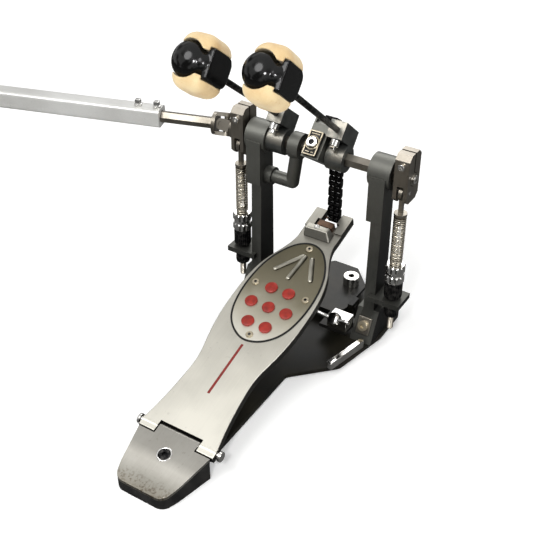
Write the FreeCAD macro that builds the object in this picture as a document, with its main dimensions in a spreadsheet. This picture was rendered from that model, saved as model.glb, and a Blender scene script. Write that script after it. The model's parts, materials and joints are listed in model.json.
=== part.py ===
import FreeCAD, Part
import math
import os
import re
import Sketcher

V = FreeCAD.Vector

# Driving dimensions: millimetres, degrees, counts, and shares of other sizes
SIZES = {
    # main frame
    "shaft_height": 202, "foot_height": 3, "base_thickness": 5,
    "base_tail_half": 30, "base_flare_start": 114, "base_flare_end": 73,
    "base_flare_half": 70, "base_half": 84, "base_side_start": 8, "base_side_end": 38,
    "base_front": 60, "base_nose_half": 62, "base_corner": 7,
    "centre_foot_width": 56, "centre_foot_length": 70, "post_foot_pad_radius": 11,
    "tail_foot_width": 40, "tail_foot_length": 36, "tail_foot_ahead": 37.8,
    "post_reach": 70, "post_thickness": 12, "post_top_depth": 22, "post_low_depth": 28,
    "housing_radius": 16.5, "housing_length": 23, "bearing_radius": 12, "bearing_width": 12,
    "pad_width": 17, "pad_depth": 7, "pad_drop": 50,
    "sole_width": 24, "sole_front": 29, "sole_back": 24, "sole_height": 34, "sole_ledge_front": 13,
    "sole_ledge_back": 20, "washer_width": 15, "washer_length": 19, "washer_thickness": 2,
    "foot_bolt_radius": 5.5, "foot_bolt_height": 4,
    "shelf_height": 59, "shelf_thickness": 6, "shelf_front": 18, "shelf_back": 10, "shelf_out": 35,
    "rail_width": 7, "rail_height": 9, "rail_length": 50, "rail_reach": 68.5, "rail_back": 60, "rail_turn": 13,
    # centre arm
    "arm_ring_x": 27, "arm_ring_width": 12, "arm_ring_radius": 13.5, "arm_radius": 7, "arm_stop": 10,
    "arm_drop": 44, "arm_elbow_x": 33, "arm_collar_radius": 9.5, "arm_collar_length": 9,
    # shafts
    "shaft_across": 12, "journal_radius": 6, "journal_gap": 1, "running_gap": 0.05, "seat_gap": 0.5,
    "overrun": 2,
    # drive cam and chain
    "chain_radius": 34, "chain_pitch": 6.35, "chain_roller_radius": 1.65, "chain_pin_radius": 1.1,
    "chain_plate_height": 5.2, "chain_plate_thickness": 1, "chain_inner_offset": 5.55,
    "chain_outer_offset": 6.85, "chain_mid_thickness": 2, "run_links": 15, "bend_links": 5,
    "cam_half": 9.5, "cam_seat_gap": 0.5, "cam_wall_inside": 7.75, "cam_wall_rise": 4,
    "cam_flat_drop": 10, "cam_flat_turn": 35, "cam_face_rise": 22, "cam_face_turn": 45,
    "clamp_plate_width": 15, "clamp_plate_length": 26, "clamp_plate_thickness": 5,
    "clamp_bolt_radius": 5.5, "clamp_bolt_height": 4,
    # beater hubs
    "hub_right_x": 18.5, "hub_left_x": 49.5, "hub_width": 17, "hub_barrel_radius": 13.5,
    "hub_barrel_long": 2, "rod_offset": 21.5, "boss_across": 18, "boss_length": 34, "boss_top": 25.5,
    "hub_screw_radius": 5, "hub_screw_length": 7, "hub_screw_reach": 19.5,
    # beaters
    "right_lean": 50.1, "left_lean": 51.8, "rod_radius": 3, "rod_below": 9, "head_reach": 177, "rod_above": 7,
    "core_width": 36, "core_depth": 21, "core_length": 30, "core_drop": 6.5,
    "dome_radius": 16.5, "dome_out": 4.5, "dome_lift": 8, "neck_radius": 9.3, "neck_out": 7.5, "neck_lift": 10,
    "cheek_width": 5.6, "cheek_depth": 28, "cheek_length": 34, "cheek_out": 15.6, "cheek_round": 2.2,
    "felt_width": 36, "felt_length": 43, "felt_rise": 25.5, "felt_round": 13, "felt_gap": 0.3,
    # rockers and springs
    "rocker_x": 92.5, "rocker_width": 15, "rocker_half_depth": 13, "rocker_top": 28, "rocker_foot": 24,
    "rocker_bevel": 5, "clevis_width": 7, "clevis_top": 5, "slit_width": 2, "slit_length": 25,
    "pin_forward": 6, "pin_drop": 13, "pin_radius": 2, "eye_radius": 4, "eye_outer": 7, "eye_gap": 0.3,
    "hook_thickness": 4, "shank_depth": 5, "rocker_screw_radius": 3.5, "rocker_screw_height": 3,
    "rocker_screw_rise": 17, "end_screw_radius": 4.5, "end_screw_height": 2.5,
    "spring_low": 105, "spring_radius": 5.75, "wire_diameter": 1.5, "spring_pitch": 2.14, "spring_turns": 26,
    "plug_length": 9, "plug_gap": 0.3, "flange_radius": 6.6, "flange_height": 3,
    "nut_radius": 10.5, "nut_height": 21, "nut_groove": 3, "nut_groove_depth": 1.2,
    "sleeve_radius": 9.5, "collar_radius": 6.5, "collar_height": 2, "collar_gap": 0.4,
    "cap_radius": 8, "cap_height": 13, "bolt_radius": 3.5, "bolt_tail": 22, "bolt_hole_gap": 1.2,
    # footboard in its own frame: along the board and square to it, from the hinge pin
    "hinge_reach": 252.8, "hinge_height": 23.2, "toe_pin_drop": 1.79, "toe_margin": 3.66, "board_top": 4.8,
    "board_thickness": 8, "board_half": 43.5, "heel_ear": 7, "notch_half": 24, "notch_depth": 5.4,
    "hinge_pin_radius": 3, "hinge_pin_half": 44, "hinge_head_radius": 5, "hinge_head_length": 3,
    "knuckle_radius": 5.2, "toe_half": 22, "toe_slot_half": 9.5, "toe_slot_length": 16, "ear_rise": 1.5,
    "ear_length": 27, "board_round": 1.2, "toe_recess_half": 13, "toe_recess_length": 20,
    "toe_recess_depth": 3,
    "traction_start": 117, "traction_length": 135, "traction_half": 37.5, "traction_depth": 2,
    "traction_gap": 0.6, "traction_proud": 0.3,
    "grip_radius": 6.2, "grip_height": 2.4, "grip_dome": 0.9, "grip_step": 20.4, "grip_row": 23.1,
    "grip_centre": 160.7, "plate_screw_radius": 3.8, "plate_screw_height": 1.2, "plate_screw_side": 29.5,
    "plate_screw_low": 124, "plate_screw_mid": 184, "plate_screw_high": 245, "screw_socket_radius": 1.5,
    "toe_block_length": 8, "toe_block_height": 7, "toe_block_gap": 0.5,
    # heel
    "heel_half": 40, "heel_waist_half": 31, "heel_end_half": 25.5, "heel_length": 53.5, "heel_waist": 41,
    "heel_gap": 4, "heel_plate_thickness": 3, "heel_slope": 12, "tongue_half": 22.5, "tongue_radius": 4.2,
    "heel_bolt_radius": 6, "heel_bolt_sink": 0.4, "heel_bolt_back": 23.5,
    # hoop clamp
    "jaw_height": 18, "jaw_thickness": 4, "jaw_rear": 14, "jaw_half": 38, "jaw_side_end": 46,
    "jaw_front": 71, "jaw_nose_half": 15, "jaw_pivot_y": 8, "trunnion_radius": 3, "trunnion_length": 8,
    "lug_gap": 1, "lug_width": 6, "lug_depth": 16, "lug_height": 19,
    "bush_radius": 9, "bush_bore": 3, "bush_height": 12, "bush_x": 22, "bush_y": 40,
    "clamp_x": 46, "clamp_y": 30, "clamp_width": 22, "clamp_depth": 18, "clamp_height": 12,
    "arm_plate_inner": 26, "wing_tilt": 40, "wing_half": 21, "wing_depth": 12, "wing_thickness": 4,
    "wing_bolt_radius": 4, "wing_bolt_length": 37.5, "wing_boss_radius": 7.5, "wing_boss_height": 9,
    "wing_lift": 23,
    # drive shaft
    "joint_x": 114, "shaft_turn": 16.9, "joint_span": 345, "yoke_pin_turn": 65,
    "cross_pin_radius": 3, "cross_pin_half": 11.5, "cross_body": 8, "ear_inside": 8, "ear_thickness": 4,
    "ear_radius": 6, "yoke_reach": 10, "yoke_base_thickness": 4, "open_pin_gap": 0.5,
    "rod_across": 11, "rod_end": 190, "tube_start": 72, "tube_across": 20, "tube_corner": 4,
    "tube_bore_gap": 0.1, "tube_screw_first": 77, "tube_screw_step": 21, "tube_screw_across": 6,
    "tube_screw_height": 7, "tube_screw_collar": 4.5,
    # second pedal
    "second_shift": 99, "second_base_half": 80, "second_front": 40,
}

# Places worked out from the driving dimensions
PLACES = {
    "base_top": "foot_height + base_thickness",
    "hex_radius": "shaft_across / 2 / cos(30)",
    "shaft_bore": "hex_radius + running_gap",
    "bearing_bore": "hex_radius + running_gap",
    "housing_outside": "post_reach + housing_length / 2",
    "ring_outside": "arm_ring_x + arm_ring_width / 2",
    "ring_inside": "arm_ring_x - arm_ring_width / 2",
    "sole_top": "base_top + sole_height",
    "shelf_top": "shelf_height + shelf_thickness / 2",
    "shelf_low": "shelf_height - shelf_thickness / 2",
    "pin_height": "shaft_height - pin_drop",
    "eye_height": "pin_height - eye_radius + pin_radius + eye_gap",
    "spring_high": "spring_low + spring_turns * spring_pitch + wire_diameter",
    "spring_inner": "spring_radius - wire_diameter / 2",
    "plug_radius": "spring_inner - plug_gap",
    "nut_top": "spring_low - plug_gap",
    "sleeve_low": "shelf_top + collar_gap + collar_height",
    "sleeve_high": "nut_top - nut_height",
    "cap_top": "shelf_low - collar_gap - collar_height",
    "cam_seat": "chain_radius - chain_plate_height / 2 - cam_seat_gap",
    "link_turn": "2 * asin(chain_pitch / 2 / chain_radius)",
    "toe_pin_height": "shaft_height - (run_links + 0.5) * chain_pitch",
    "toe_ahead": "chain_radius + hinge_reach",
    "toe_above": "toe_pin_height - hinge_height",
    "toe_span": "sqrt(toe_ahead ^ 2 + toe_above ^ 2)",
    "board_angle": "atan(toe_above / toe_ahead) + asin(toe_pin_drop / toe_span)",
    "toe_pin_along": "sqrt(toe_span ^ 2 - toe_pin_drop ^ 2)",
    "toe_pin_rise": "-toe_pin_drop",
    "board_length": "toe_pin_along + toe_margin",
    "tail_foot_reach": "hinge_reach - tail_foot_ahead",
    "board_low": "board_top - board_thickness",
    "plate_low": "board_top - traction_depth",
    "plate_top": "board_top + traction_proud",
    "heel_front": "hinge_reach + knuckle_radius + heel_gap",
    "heel_end": "heel_front + heel_length",
    "tongue_front": "hinge_reach + tongue_radius * sin(heel_slope)",
    "heel_plate_low": "tongue_radius - heel_plate_thickness",
    "jaw_top": "jaw_height + jaw_thickness",
    "jaw_mid": "jaw_height + jaw_thickness / 2",
    "rocker_inside": "rocker_x - rocker_width / 2",
    "rocker_outside": "rocker_x + rocker_width / 2",
    "second_x": "-(joint_x + joint_span * cos(shaft_turn) + second_shift)",
    "second_y": "-(joint_span * sin(shaft_turn))",
    "joint_far_x": "-(joint_x + joint_span * cos(shaft_turn))",
}

# Outlines in shares of the size that they follow, from the heel to the toe
BOARD_EDGE_SHARES = [(0.000, 0.965), (0.080, 0.860), (0.200, 0.770), (0.270, 0.765), (0.350, 0.870),
                     (0.450, 0.975), (0.550, 1.000), (0.650, 0.960), (0.730, 0.815), (0.800, 0.600),
                     (0.860, 0.500)]
TRACTION_EDGE_SHARES = [(0.000, 0.000), (0.035, 0.380), (0.130, 0.740), (0.310, 0.965), (0.540, 1.000),
                        (0.730, 0.880), (0.890, 0.600), (0.975, 0.290), (1.000, 0.000)]

DOC = FreeCAD.newDocument("double_bass_drum_pedal")
SHEET = DOC.addObject("Spreadsheet::Sheet", "Sizes")
for row, (alias, number) in enumerate(SIZES.items(), start=1):
    SHEET.set("A%d" % row, alias.replace("_", " "))
    SHEET.set("B%d" % row, str(number))
    SHEET.setAlias("B%d" % row, alias)
DOC.recompute()

NODES = []
TURNED = {"X": FreeCAD.Rotation(V(0, 1, 0), 90), "Y": FreeCAD.Rotation(V(1, 0, 0), -90),
          "Z": FreeCAD.Rotation()}
LETTERS = "xyz"


def formula(text):
    """A formula in plain names, with every name turned into its cell of the sheet."""
    def cell(match):
        name = match.group(0)
        if name in PLACES:
            return "(" + formula(PLACES[name]) + ")"
        return "Sizes." + name if name in SIZES else name
    return re.sub(r"[a-z][a-z_0-9]*", cell, str(text))


def value(text):
    """The number that a formula gives now."""
    return float(SHEET.evalExpression(formula(text)))


def bind(thing, prop, text):
    thing.setExpression(prop, formula(text))


def place(thing, at=(0, 0, 0), turn=None, about=V(1, 0, 0)):
    """Binds a thing's place, and its turn about one axis, to the sheet."""
    if turn is not None:
        thing.Placement = FreeCAD.Placement(V(), FreeCAD.Rotation(about, value(turn)))
        bind(thing, "Placement.Rotation.Angle", turn)
    for letter, text in zip(LETTERS, at):
        bind(thing, "Placement.Base." + letter, text)
    return thing


def block(name, sizes, middle):
    """A box of three sizes round its middle point."""
    box = DOC.addObject("Part::Box", name)
    for prop, text in zip(("Length", "Width", "Height"), sizes):
        bind(box, prop, text)
    return place(box, ["(%s) - (%s) / 2" % pair for pair in zip(middle, sizes)])


def round_bar(name, radius, length, middle, along="X"):
    """A cylinder along one axis, round its middle point."""
    bar = DOC.addObject("Part::Cylinder", name)
    bind(bar, "Radius", radius)
    bind(bar, "Height", length)
    bar.Placement = FreeCAD.Placement(V(), TURNED[along])
    shift = ["(%s) - (%s) / 2" % (text, length) if letter == along.lower() else text
             for letter, text in zip(LETTERS, middle)]
    return place(bar, shift)


def hex_bar(name, radius, length, middle):
    """A hexagonal bar along the shaft."""
    bar = DOC.addObject("Part::Prism", name)
    bar.Polygon = 6
    bind(bar, "Circumradius", radius)
    bind(bar, "Height", length)
    bar.Placement = FreeCAD.Placement(V(), TURNED["X"])
    return place(bar, ["(%s) - (%s) / 2" % (middle[0], length), middle[1], middle[2]])


def ball(name, radius, middle):
    sphere = DOC.addObject("Part::Sphere", name)
    bind(sphere, "Radius", radius)
    return place(sphere, middle)


def plate(name, outline, thickness, side="XY_Plane", middle=False, corner=None):
    """A padded sketch whose corner points are bound to the sheet, with its upright corners rounded."""
    body = DOC.addObject("PartDesign::Body", name)
    sketch = body.newObject("Sketcher::SketchObject", name + "_outline")
    plane = next(face for face in body.Origin.OriginFeatures if face.Role == side)
    sketch.AttachmentSupport = [(plane, "")]
    sketch.MapMode = "FlatFace"
    points = [V(value(across), value(up), 0) for across, up in outline]
    for start, end in zip(points, points[1:] + points[:1]):
        sketch.addGeometry(Part.LineSegment(start, end), False)
    for line in range(len(points)):
        sketch.addConstraint(Sketcher.Constraint("Coincident", line, 2, (line + 1) % len(points), 1))
    for line, (corner_texts, point) in enumerate(zip(outline, points)):
        for kind, text, number in zip(("DistanceX", "DistanceY"), corner_texts, point):
            index = sketch.addConstraint(Sketcher.Constraint(kind, -1, 1, line, 1, number))
            bind(sketch, "Constraints[%d]" % index, text)
    pad = body.newObject("PartDesign::Pad", name + "_pad")
    pad.Profile = sketch
    bind(pad, "Length", thickness)
    pad.Midplane = middle
    DOC.recompute()
    if corner is not None:
        upright = {"XY_Plane": V(0, 0, 1), "YZ_Plane": V(1, 0, 0)}[side]
        edges = ["Edge%d" % number for number, edge in enumerate(pad.Shape.Edges, start=1)
                 if abs(edge.tangentAt(edge.FirstParameter).dot(upright)) > 0.999]
        rounding = body.newObject("PartDesign::Fillet", name + "_corners")
        rounding.Base = (pad, edges)
        bind(rounding, "Radius", corner)
    return body


def both_sides(half):
    """An outline's right half, with its mirror image after it."""
    return half + [("-(%s)" % across, up) for across, up in reversed(half)]


def fuse(name, *pieces):
    joined = DOC.addObject("Part::MultiFuse", name)
    joined.Shapes = list(pieces)
    joined.Refine = True
    return joined


def cut(name, base, *tools):
    left = DOC.addObject("Part::Cut", name)
    left.Base = base
    left.Tool = tools[0] if len(tools) == 1 else fuse(name + "_tools", *tools)
    return left


def bundle(name, *pieces):
    """Separate solids in one node."""
    group = DOC.addObject("Part::Compound", name)
    group.Links = list(pieces)
    return group


def formed(name, shape):
    """A shape worked out in code, where no sketch or primitive fits."""
    feature = DOC.addObject("Part::Feature", name)
    feature.Shape = shape
    return feature


def node(name, thing):
    thing.Label = name
    NODES.append(thing)
    return thing


# Main base: one steel plate with lugs for the jaw, on rubber feet, with a chrome rail at its right edge

def jaw_lug(side):
    return block("jaw_lug", ("lug_width", "lug_depth", "lug_height"),
                 ("%s * (jaw_half + lug_gap + lug_width / 2)" % side, "jaw_pivot_y",
                  "base_top + lug_height / 2"))


base_outline = both_sides([
    ("base_tail_half", "-heel_front"), ("base_tail_half", "-base_flare_start"),
    ("base_flare_half", "-base_flare_end"), ("base_half", "-base_side_start"),
    ("base_half", "base_side_end"), ("base_nose_half", "base_front")])
base_sheet = place(plate("base_sheet", base_outline, "base_thickness", corner="base_corner"),
                   (0, 0, "foot_height"))
lug_bore = round_bar("lug_bore", "trunnion_radius + running_gap", "4 * base_half",
                     (0, "jaw_pivot_y", "jaw_mid"))
node("base_plate", cut("base_plate_cut", fuse("base_with_lugs", base_sheet, jaw_lug(1), jaw_lug(-1)), lug_bore))

feet = [block("centre_foot", ("centre_foot_width", "centre_foot_length", "foot_height"),
              (0, 0, "foot_height / 2")),
        block("tail_foot", ("tail_foot_width", "tail_foot_length", "foot_height"),
              (0, "-tail_foot_reach", "foot_height / 2"))]
for side in (1, -1):
    feet.append(round_bar("post_foot_pad", "post_foot_pad_radius", "foot_height",
                          ("%d * post_reach" % side, 0, "foot_height / 2"), along="Z"))
node("rubber_feet", bundle("feet_group", *feet))

rail = block("rail_bar", ("rail_width", "rail_length", "rail_height"), (0, 0, "base_top + rail_height / 2"))
node("side_rail", place(fuse("rail_turned", rail, round_bar(
    "rail_end", "rail_width / 2", "rail_height", (0, "rail_length / 2", "base_top + rail_height / 2"),
    along="Z")), ("rail_reach", "-rail_back", 0), turn="rail_turn", about=V(0, 0, -1)))


# Posts: cast columns that carry the bearing housings at their tops and the spring shelves at the outside

def post_column(name, x, y):
    """A tapered column with its sole and its housing, cut out for the bearing by the caller."""
    column = place(plate(name + "_column", [
        ("-post_low_depth / 2", "base_top"), ("post_low_depth / 2", "base_top"),
        ("post_top_depth / 2", "shaft_height"), ("-post_top_depth / 2", "shaft_height")],
        "post_thickness", side="YZ_Plane", middle=True), (x, y, 0))
    sole = place(plate(name + "_sole", [
        ("-sole_front", "base_top"), ("sole_back", "base_top"),
        ("sole_ledge_back", "sole_top"), ("-sole_ledge_front", "sole_top")],
        "sole_width", side="YZ_Plane", middle=True), (x, y, 0))
    housing = round_bar(name + "_housing", "housing_radius", "housing_length", (x, y, "shaft_height"))
    return [column, sole, housing]


def main_post(name, side):
    x = "%d * post_reach" % side
    pieces = post_column(name, x, 0)
    pieces.append(block(name + "_pad", ("pad_width", "pad_depth", "pad_drop"),
                        (x, "-(post_top_depth / 2 + pad_depth / 2 - running_gap)",
                         "shaft_height - pad_drop / 2")))
    pieces.append(block(name + "_shelf", ("shelf_out", "shelf_front + shelf_back", "shelf_thickness"),
                        ("%d * (post_reach + shelf_out / 2)" % side, "(shelf_back - shelf_front) / 2",
                         "shelf_height")))
    bearing_seat = round_bar(name + "_seat", "bearing_radius + running_gap", "housing_length + overrun",
                             (x, 0, "shaft_height"))
    bolt_hole = round_bar(name + "_hole", "bolt_radius + bolt_hole_gap", "shelf_thickness + overrun",
                          ("%d * rocker_x" % side, "-pin_forward", "shelf_height"), along="Z")
    node(name, cut(name + "_cut", fuse(name + "_solid", *pieces), bearing_seat, bolt_hole))


main_post("right_post", 1)
main_post("left_post", -1)


def bearing(side):
    middle = ("%d * post_reach" % side, 0, "shaft_height")
    return cut("bearing_ring", round_bar("bearing_race", "bearing_radius", "bearing_width", middle),
               round_bar("bearing_hole", "bearing_bore", "bearing_width + overrun", middle))


node("bearings", bundle("bearing_pair", bearing(1), bearing(-1)))


def foot_bolt(side):
    """A square washer and a bolt head on the sloping front of a post's sole."""
    washer = block("washer", ("washer_width", "washer_length", "washer_thickness"),
                   (0, 0, "washer_thickness / 2"))
    head = round_bar("bolt_head", "foot_bolt_radius", "foot_bolt_height",
                     (0, 0, "washer_thickness + foot_bolt_height / 2"), along="Z")
    return place(fuse("foot_bolt", washer, head),
                 ("%d * post_reach" % side, "-(sole_front + sole_ledge_front) / 2", "base_top + sole_height / 2"),
                 turn="atan(sole_height / (sole_front - sole_ledge_front))")


def on_heel(thing, back, rise, x="0", y="0"):
    """Places a thing on the heel's slope: back from the hinge pin, and square to the slope above it."""
    return place(thing, (x, "%s - hinge_reach - (%s) * cos(heel_slope) - (%s) * sin(heel_slope)" % (y, back, rise),
                         "hinge_height - (%s) * sin(heel_slope) + (%s) * cos(heel_slope)" % (back, rise)),
                 turn="heel_slope")


def heel_bar(name, radius, length):
    bar = round_bar(name, radius, length, (0, 0, 0), along="Z")
    return on_heel(bar, "heel_bolt_back", "heel_plate_low")


heel_bolt = heel_bar("heel_bolt_head", "heel_bolt_radius", "heel_plate_thickness - heel_bolt_sink")
node("frame_bolts", bundle("bolt_group", foot_bolt(1), foot_bolt(-1), heel_bolt))

# Centre arm: a bent bar from the left post to the ring where the two shafts meet
arm_level = "shaft_height - arm_drop"
arm_run = round_bar("arm_run", "arm_radius", "post_reach - post_thickness / 2 - arm_elbow_x",
                    ("-(post_reach - post_thickness / 2 + arm_elbow_x) / 2", 0, arm_level))
arm_rise = DOC.addObject("Part::Cylinder", "arm_rise")
bind(arm_rise, "Radius", "arm_radius")
bind(arm_rise, "Height", "sqrt(arm_drop ^ 2 + (arm_elbow_x - arm_ring_x) ^ 2) - arm_stop")
place(arm_rise, ("-arm_elbow_x", 0, arm_level), turn="atan((arm_elbow_x - arm_ring_x) / arm_drop)",
      about=V(0, 1, 0))
arm_collar = round_bar("arm_collar", "arm_collar_radius", "arm_collar_length",
                       ("-(post_reach - post_thickness / 2 - arm_collar_length / 2)", 0, arm_level))
arm_ring = round_bar("arm_ring", "arm_ring_radius", "arm_ring_width", ("-arm_ring_x", 0, "shaft_height"))
arm_bore = round_bar("arm_bore", "journal_radius + running_gap", "2 * arm_ring_width",
                     ("-arm_ring_x", 0, "shaft_height"))
node("centre_arm", cut("arm_cut", fuse("arm_solid", arm_run, ball(
    "arm_elbow", "arm_radius", ("-arm_elbow_x", 0, arm_level)), arm_rise, arm_collar, arm_ring), arm_bore))


# Heel: a sloping plate on a block, with a tongue that holds the hinge pin between the footboard's ears
HEEL_EDGE = [("heel_half", "-heel_front"), ("heel_waist_half", "-(heel_front + heel_waist)"),
             ("heel_end_half", "-heel_end")]
TONGUE_EDGE = [("tongue_half", "-tongue_front"), ("tongue_half", "-heel_front")]


def heel_slab(name, low, thickness, x, y):
    """A wide slab that lies along the heel's slope."""
    slab = block(name, ("4 * heel_half", "4 * heel_length", thickness), (0, 0, 0))
    return on_heel(slab, "2 * heel_length", low, "%s - 2 * heel_half" % x, y)


def heel_pieces(name, x, y):
    """The sloping plate, the block under it and the rolled end of the tongue."""
    upright = [place(plate(name + suffix, both_sides(edge), "2 * hinge_height"), (x, y, 0))
               for suffix, edge in (("_outline", TONGUE_EDGE + HEEL_EDGE), ("_under", HEEL_EDGE))]
    sheet = DOC.addObject("Part::MultiCommon", name + "_sheet")
    sheet.Shapes = [upright[0], heel_slab(name + "_slab", "heel_plate_low", "heel_plate_thickness", x, y)]
    under = cut(name + "_block", upright[1], heel_slab(name + "_above", "heel_plate_low", "2 * hinge_height", x, y))
    roll = round_bar(name + "_roll", "tongue_radius", "2 * tongue_half", (x, "%s - hinge_reach" % y, "hinge_height"))
    return sheet, under, roll


def hinge_bore(name, gap, x, y):
    return round_bar(name, "hinge_pin_radius + " + gap, "4 * hinge_pin_half",
                     (x, "%s - hinge_reach" % y, "hinge_height"))


def hinge_bar(name, x, y):
    shank = round_bar(name + "_shank", "hinge_pin_radius", "2 * hinge_pin_half", (x, "%s - hinge_reach" % y,
                                                                                 "hinge_height"))
    heads = [round_bar(name + "_head", "hinge_head_radius", "hinge_head_length",
                       ("%s + %d * (hinge_pin_half + hinge_head_length / 2)" % (x, side),
                        "%s - hinge_reach" % y, "hinge_height")) for side in (1, -1)]
    return fuse(name, shank, *heads)


heel_sheet, heel_under, tongue_roll = heel_pieces("heel", "0", "0")
node("heel_plate", cut("heel_plate_cut", fuse("heel_plate_solid", heel_sheet, tongue_roll),
                       hinge_bore("tongue_bore", "running_gap", "0", "0"),
                       heel_bar("heel_bolt_hole", "heel_bolt_radius + running_gap", "2 * heel_plate_thickness")))
node("heel_block", heel_under)
node("hinge_pin", hinge_bar("hinge_bar", "0", "0"))

# Hoop clamp: a rocking jaw on trunnions, its chrome block, two bushes, and the wing bolt that tilts it
jaw_sheet = place(plate("jaw_sheet", both_sides([
    ("jaw_half - jaw_thickness", "-jaw_rear"), ("jaw_half", 0), ("jaw_half", "jaw_side_end"),
    ("jaw_nose_half", "jaw_front")]), "jaw_thickness", corner="jaw_thickness"), (0, 0, "jaw_height"))
trunnions = [round_bar("trunnion", "trunnion_radius", "trunnion_length",
                       ("%d * (jaw_half + trunnion_length / 2 - running_gap)" % side, "jaw_pivot_y", "jaw_mid"))
             for side in (1, -1)]
clamp_arm = block("clamp_arm", ("clamp_x + clamp_width / 2 - arm_plate_inner",
                                "clamp_y + clamp_depth / 2 - jaw_rear + overrun", "jaw_thickness"),
                  ("(clamp_x + clamp_width / 2 + arm_plate_inner) / 2",
                   "-(clamp_y + clamp_depth / 2 + jaw_rear - overrun) / 2", "jaw_mid"))


def wing_line(name, radius, low, high):
    """A cylinder on the wing bolt's axis, which leans back from the middle of the clamp block."""
    bar = DOC.addObject("Part::Cylinder", name)
    bind(bar, "Radius", radius)
    bind(bar, "Height", "(%s) - (%s)" % (high, low))
    lean = "(%s) * sin(wing_tilt)" % low
    return place(bar, ("clamp_x", "-clamp_y - " + lean, "jaw_top + (%s) * cos(wing_tilt)" % low),
                 turn="wing_tilt")


bolt_low = "wing_lift - wing_bolt_length"
clamp_bore = wing_line("clamp_bore", "wing_bolt_radius + running_gap", "-wing_bolt_length", "wing_bolt_length")
node("clamp_jaw", cut("jaw_cut", fuse("jaw_solid", jaw_sheet, clamp_arm, *trunnions),
                      wing_line("jaw_bore", "wing_bolt_radius + running_gap", "-wing_bolt_length",
                                "wing_bolt_length")))
node("clamp_block", cut("clamp_block_cut", block(
    "clamp_block_solid", ("clamp_width", "clamp_depth", "clamp_height"),
    ("clamp_x", "-clamp_y", "jaw_top + clamp_height / 2")), clamp_bore))


def jaw_bush(side):
    middle = ("%d * bush_x" % side, "bush_y", "jaw_top + bush_height / 2")
    return cut("jaw_bush", round_bar("bush_wall", "bush_radius", "bush_height", middle, along="Z"),
               round_bar("bush_hole", "bush_bore", "bush_height + overrun", middle, along="Z"))


node("jaw_bushes", bundle("bush_pair", jaw_bush(1), jaw_bush(-1)))
wing_bar = block("wing_bar", ("2 * wing_half", "wing_thickness", "wing_depth"),
                 (0, 0, "wing_lift + wing_depth / 2"))
place(wing_bar, ("clamp_x - wing_half", "-clamp_y - (wing_lift) * sin(wing_tilt)"
                 " - wing_thickness / 2 * cos(wing_tilt)",
                 "jaw_top + wing_lift * cos(wing_tilt) - wing_thickness / 2 * sin(wing_tilt)"), turn="wing_tilt")
node("clamp_bolt", fuse("wing_bolt", wing_line("wing_shank", "wing_bolt_radius", bolt_low, "wing_lift + overrun"),
                        wing_line("wing_boss", "wing_boss_radius", "wing_lift - wing_boss_height / 2",
                                  "wing_lift + wing_boss_height / 2"), wing_bar))

# Shafts: hexagonal bars with round journals that meet inside the centre arm's ring
main_inner = "-(arm_ring_x - journal_gap / 2)"
hex_inner = "-(ring_inside - seat_gap)"
main_journal = round_bar("main_journal", "journal_radius", "%s - (%s) + overrun" % (hex_inner, main_inner),
                         ("(%s + %s + overrun) / 2" % (hex_inner, main_inner), 0, "shaft_height"))
main_hex = hex_bar("main_hex", "hex_radius", "rocker_outside - (%s)" % hex_inner,
                   ("(rocker_outside + (%s)) / 2" % hex_inner, 0, "shaft_height"))
node("main_shaft", fuse("main_shaft_solid", main_journal, main_hex))

# Drive cam: a grooved disc with a flat under it and a flat for the clamp at its front
cam_disc = round_bar("cam_disc", "cam_seat", "2 * cam_half", (0, 0, 0))
cam_walls = [round_bar("cam_wall", "cam_seat + cam_wall_rise", "cam_half - cam_wall_inside",
                       ("%d * (cam_half + cam_wall_inside) / 2" % side, 0, 0)) for side in (1, -1)]
cam_under = block("cam_under", ("4 * cam_half", "4 * chain_radius", "2 * chain_radius"), (0, 0, 0))
place(cam_under, ("-2 * cam_half",
                  "-2 * chain_radius * cos(cam_flat_turn) - (cam_flat_drop + 2 * chain_radius) * sin(cam_flat_turn)",
                  "2 * chain_radius * sin(cam_flat_turn) - (cam_flat_drop + 2 * chain_radius) * cos(cam_flat_turn)"),
      turn="cam_flat_turn", about=V(-1, 0, 0))
cam_front = block("cam_front", ("4 * cam_half", "4 * chain_radius", "2 * chain_radius"), (0, 0, 0))
place(cam_front, ("-2 * cam_half", "-2 * chain_radius * cos(cam_face_turn) - cam_face_rise * sin(cam_face_turn)",
                  "-2 * chain_radius * sin(cam_face_turn) + cam_face_rise * cos(cam_face_turn)"),
      turn="cam_face_turn")
cam_bore = round_bar("cam_bore", "shaft_bore", "4 * cam_half", (0, 0, 0))
anchor_turn = "(bend_links + 0.5) * link_turn"
cam_anchor = round_bar("cam_anchor", "chain_pin_radius", "2 * cam_half",
                       (0, "chain_radius * cos(%s)" % anchor_turn, "chain_radius * sin(%s)" % anchor_turn))


def cam(name, x, y):
    return place(fuse(name, cut(name + "_cut", fuse(name + "_disc", cam_disc, *cam_walls),
                                cam_under, cam_front, cam_bore), cam_anchor), (x, y, "shaft_height"))


node("drive_cam", cam("cam_solid", 0, 0))
node("cam_clamp", place(block("clamp_plate", ("clamp_plate_width", "clamp_plate_length", "clamp_plate_thickness"),
                              (0, 0, 0)),
                        ("-clamp_plate_width / 2",
                         "-clamp_plate_length / 2 * cos(cam_face_turn) - cam_face_rise * sin(cam_face_turn)",
                         "shaft_height - clamp_plate_length / 2 * sin(cam_face_turn)"
                         " + cam_face_rise * cos(cam_face_turn)"), turn="cam_face_turn"))


# Beater hubs: a barrel on the shaft with a leaning boss that clamps the rod

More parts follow.
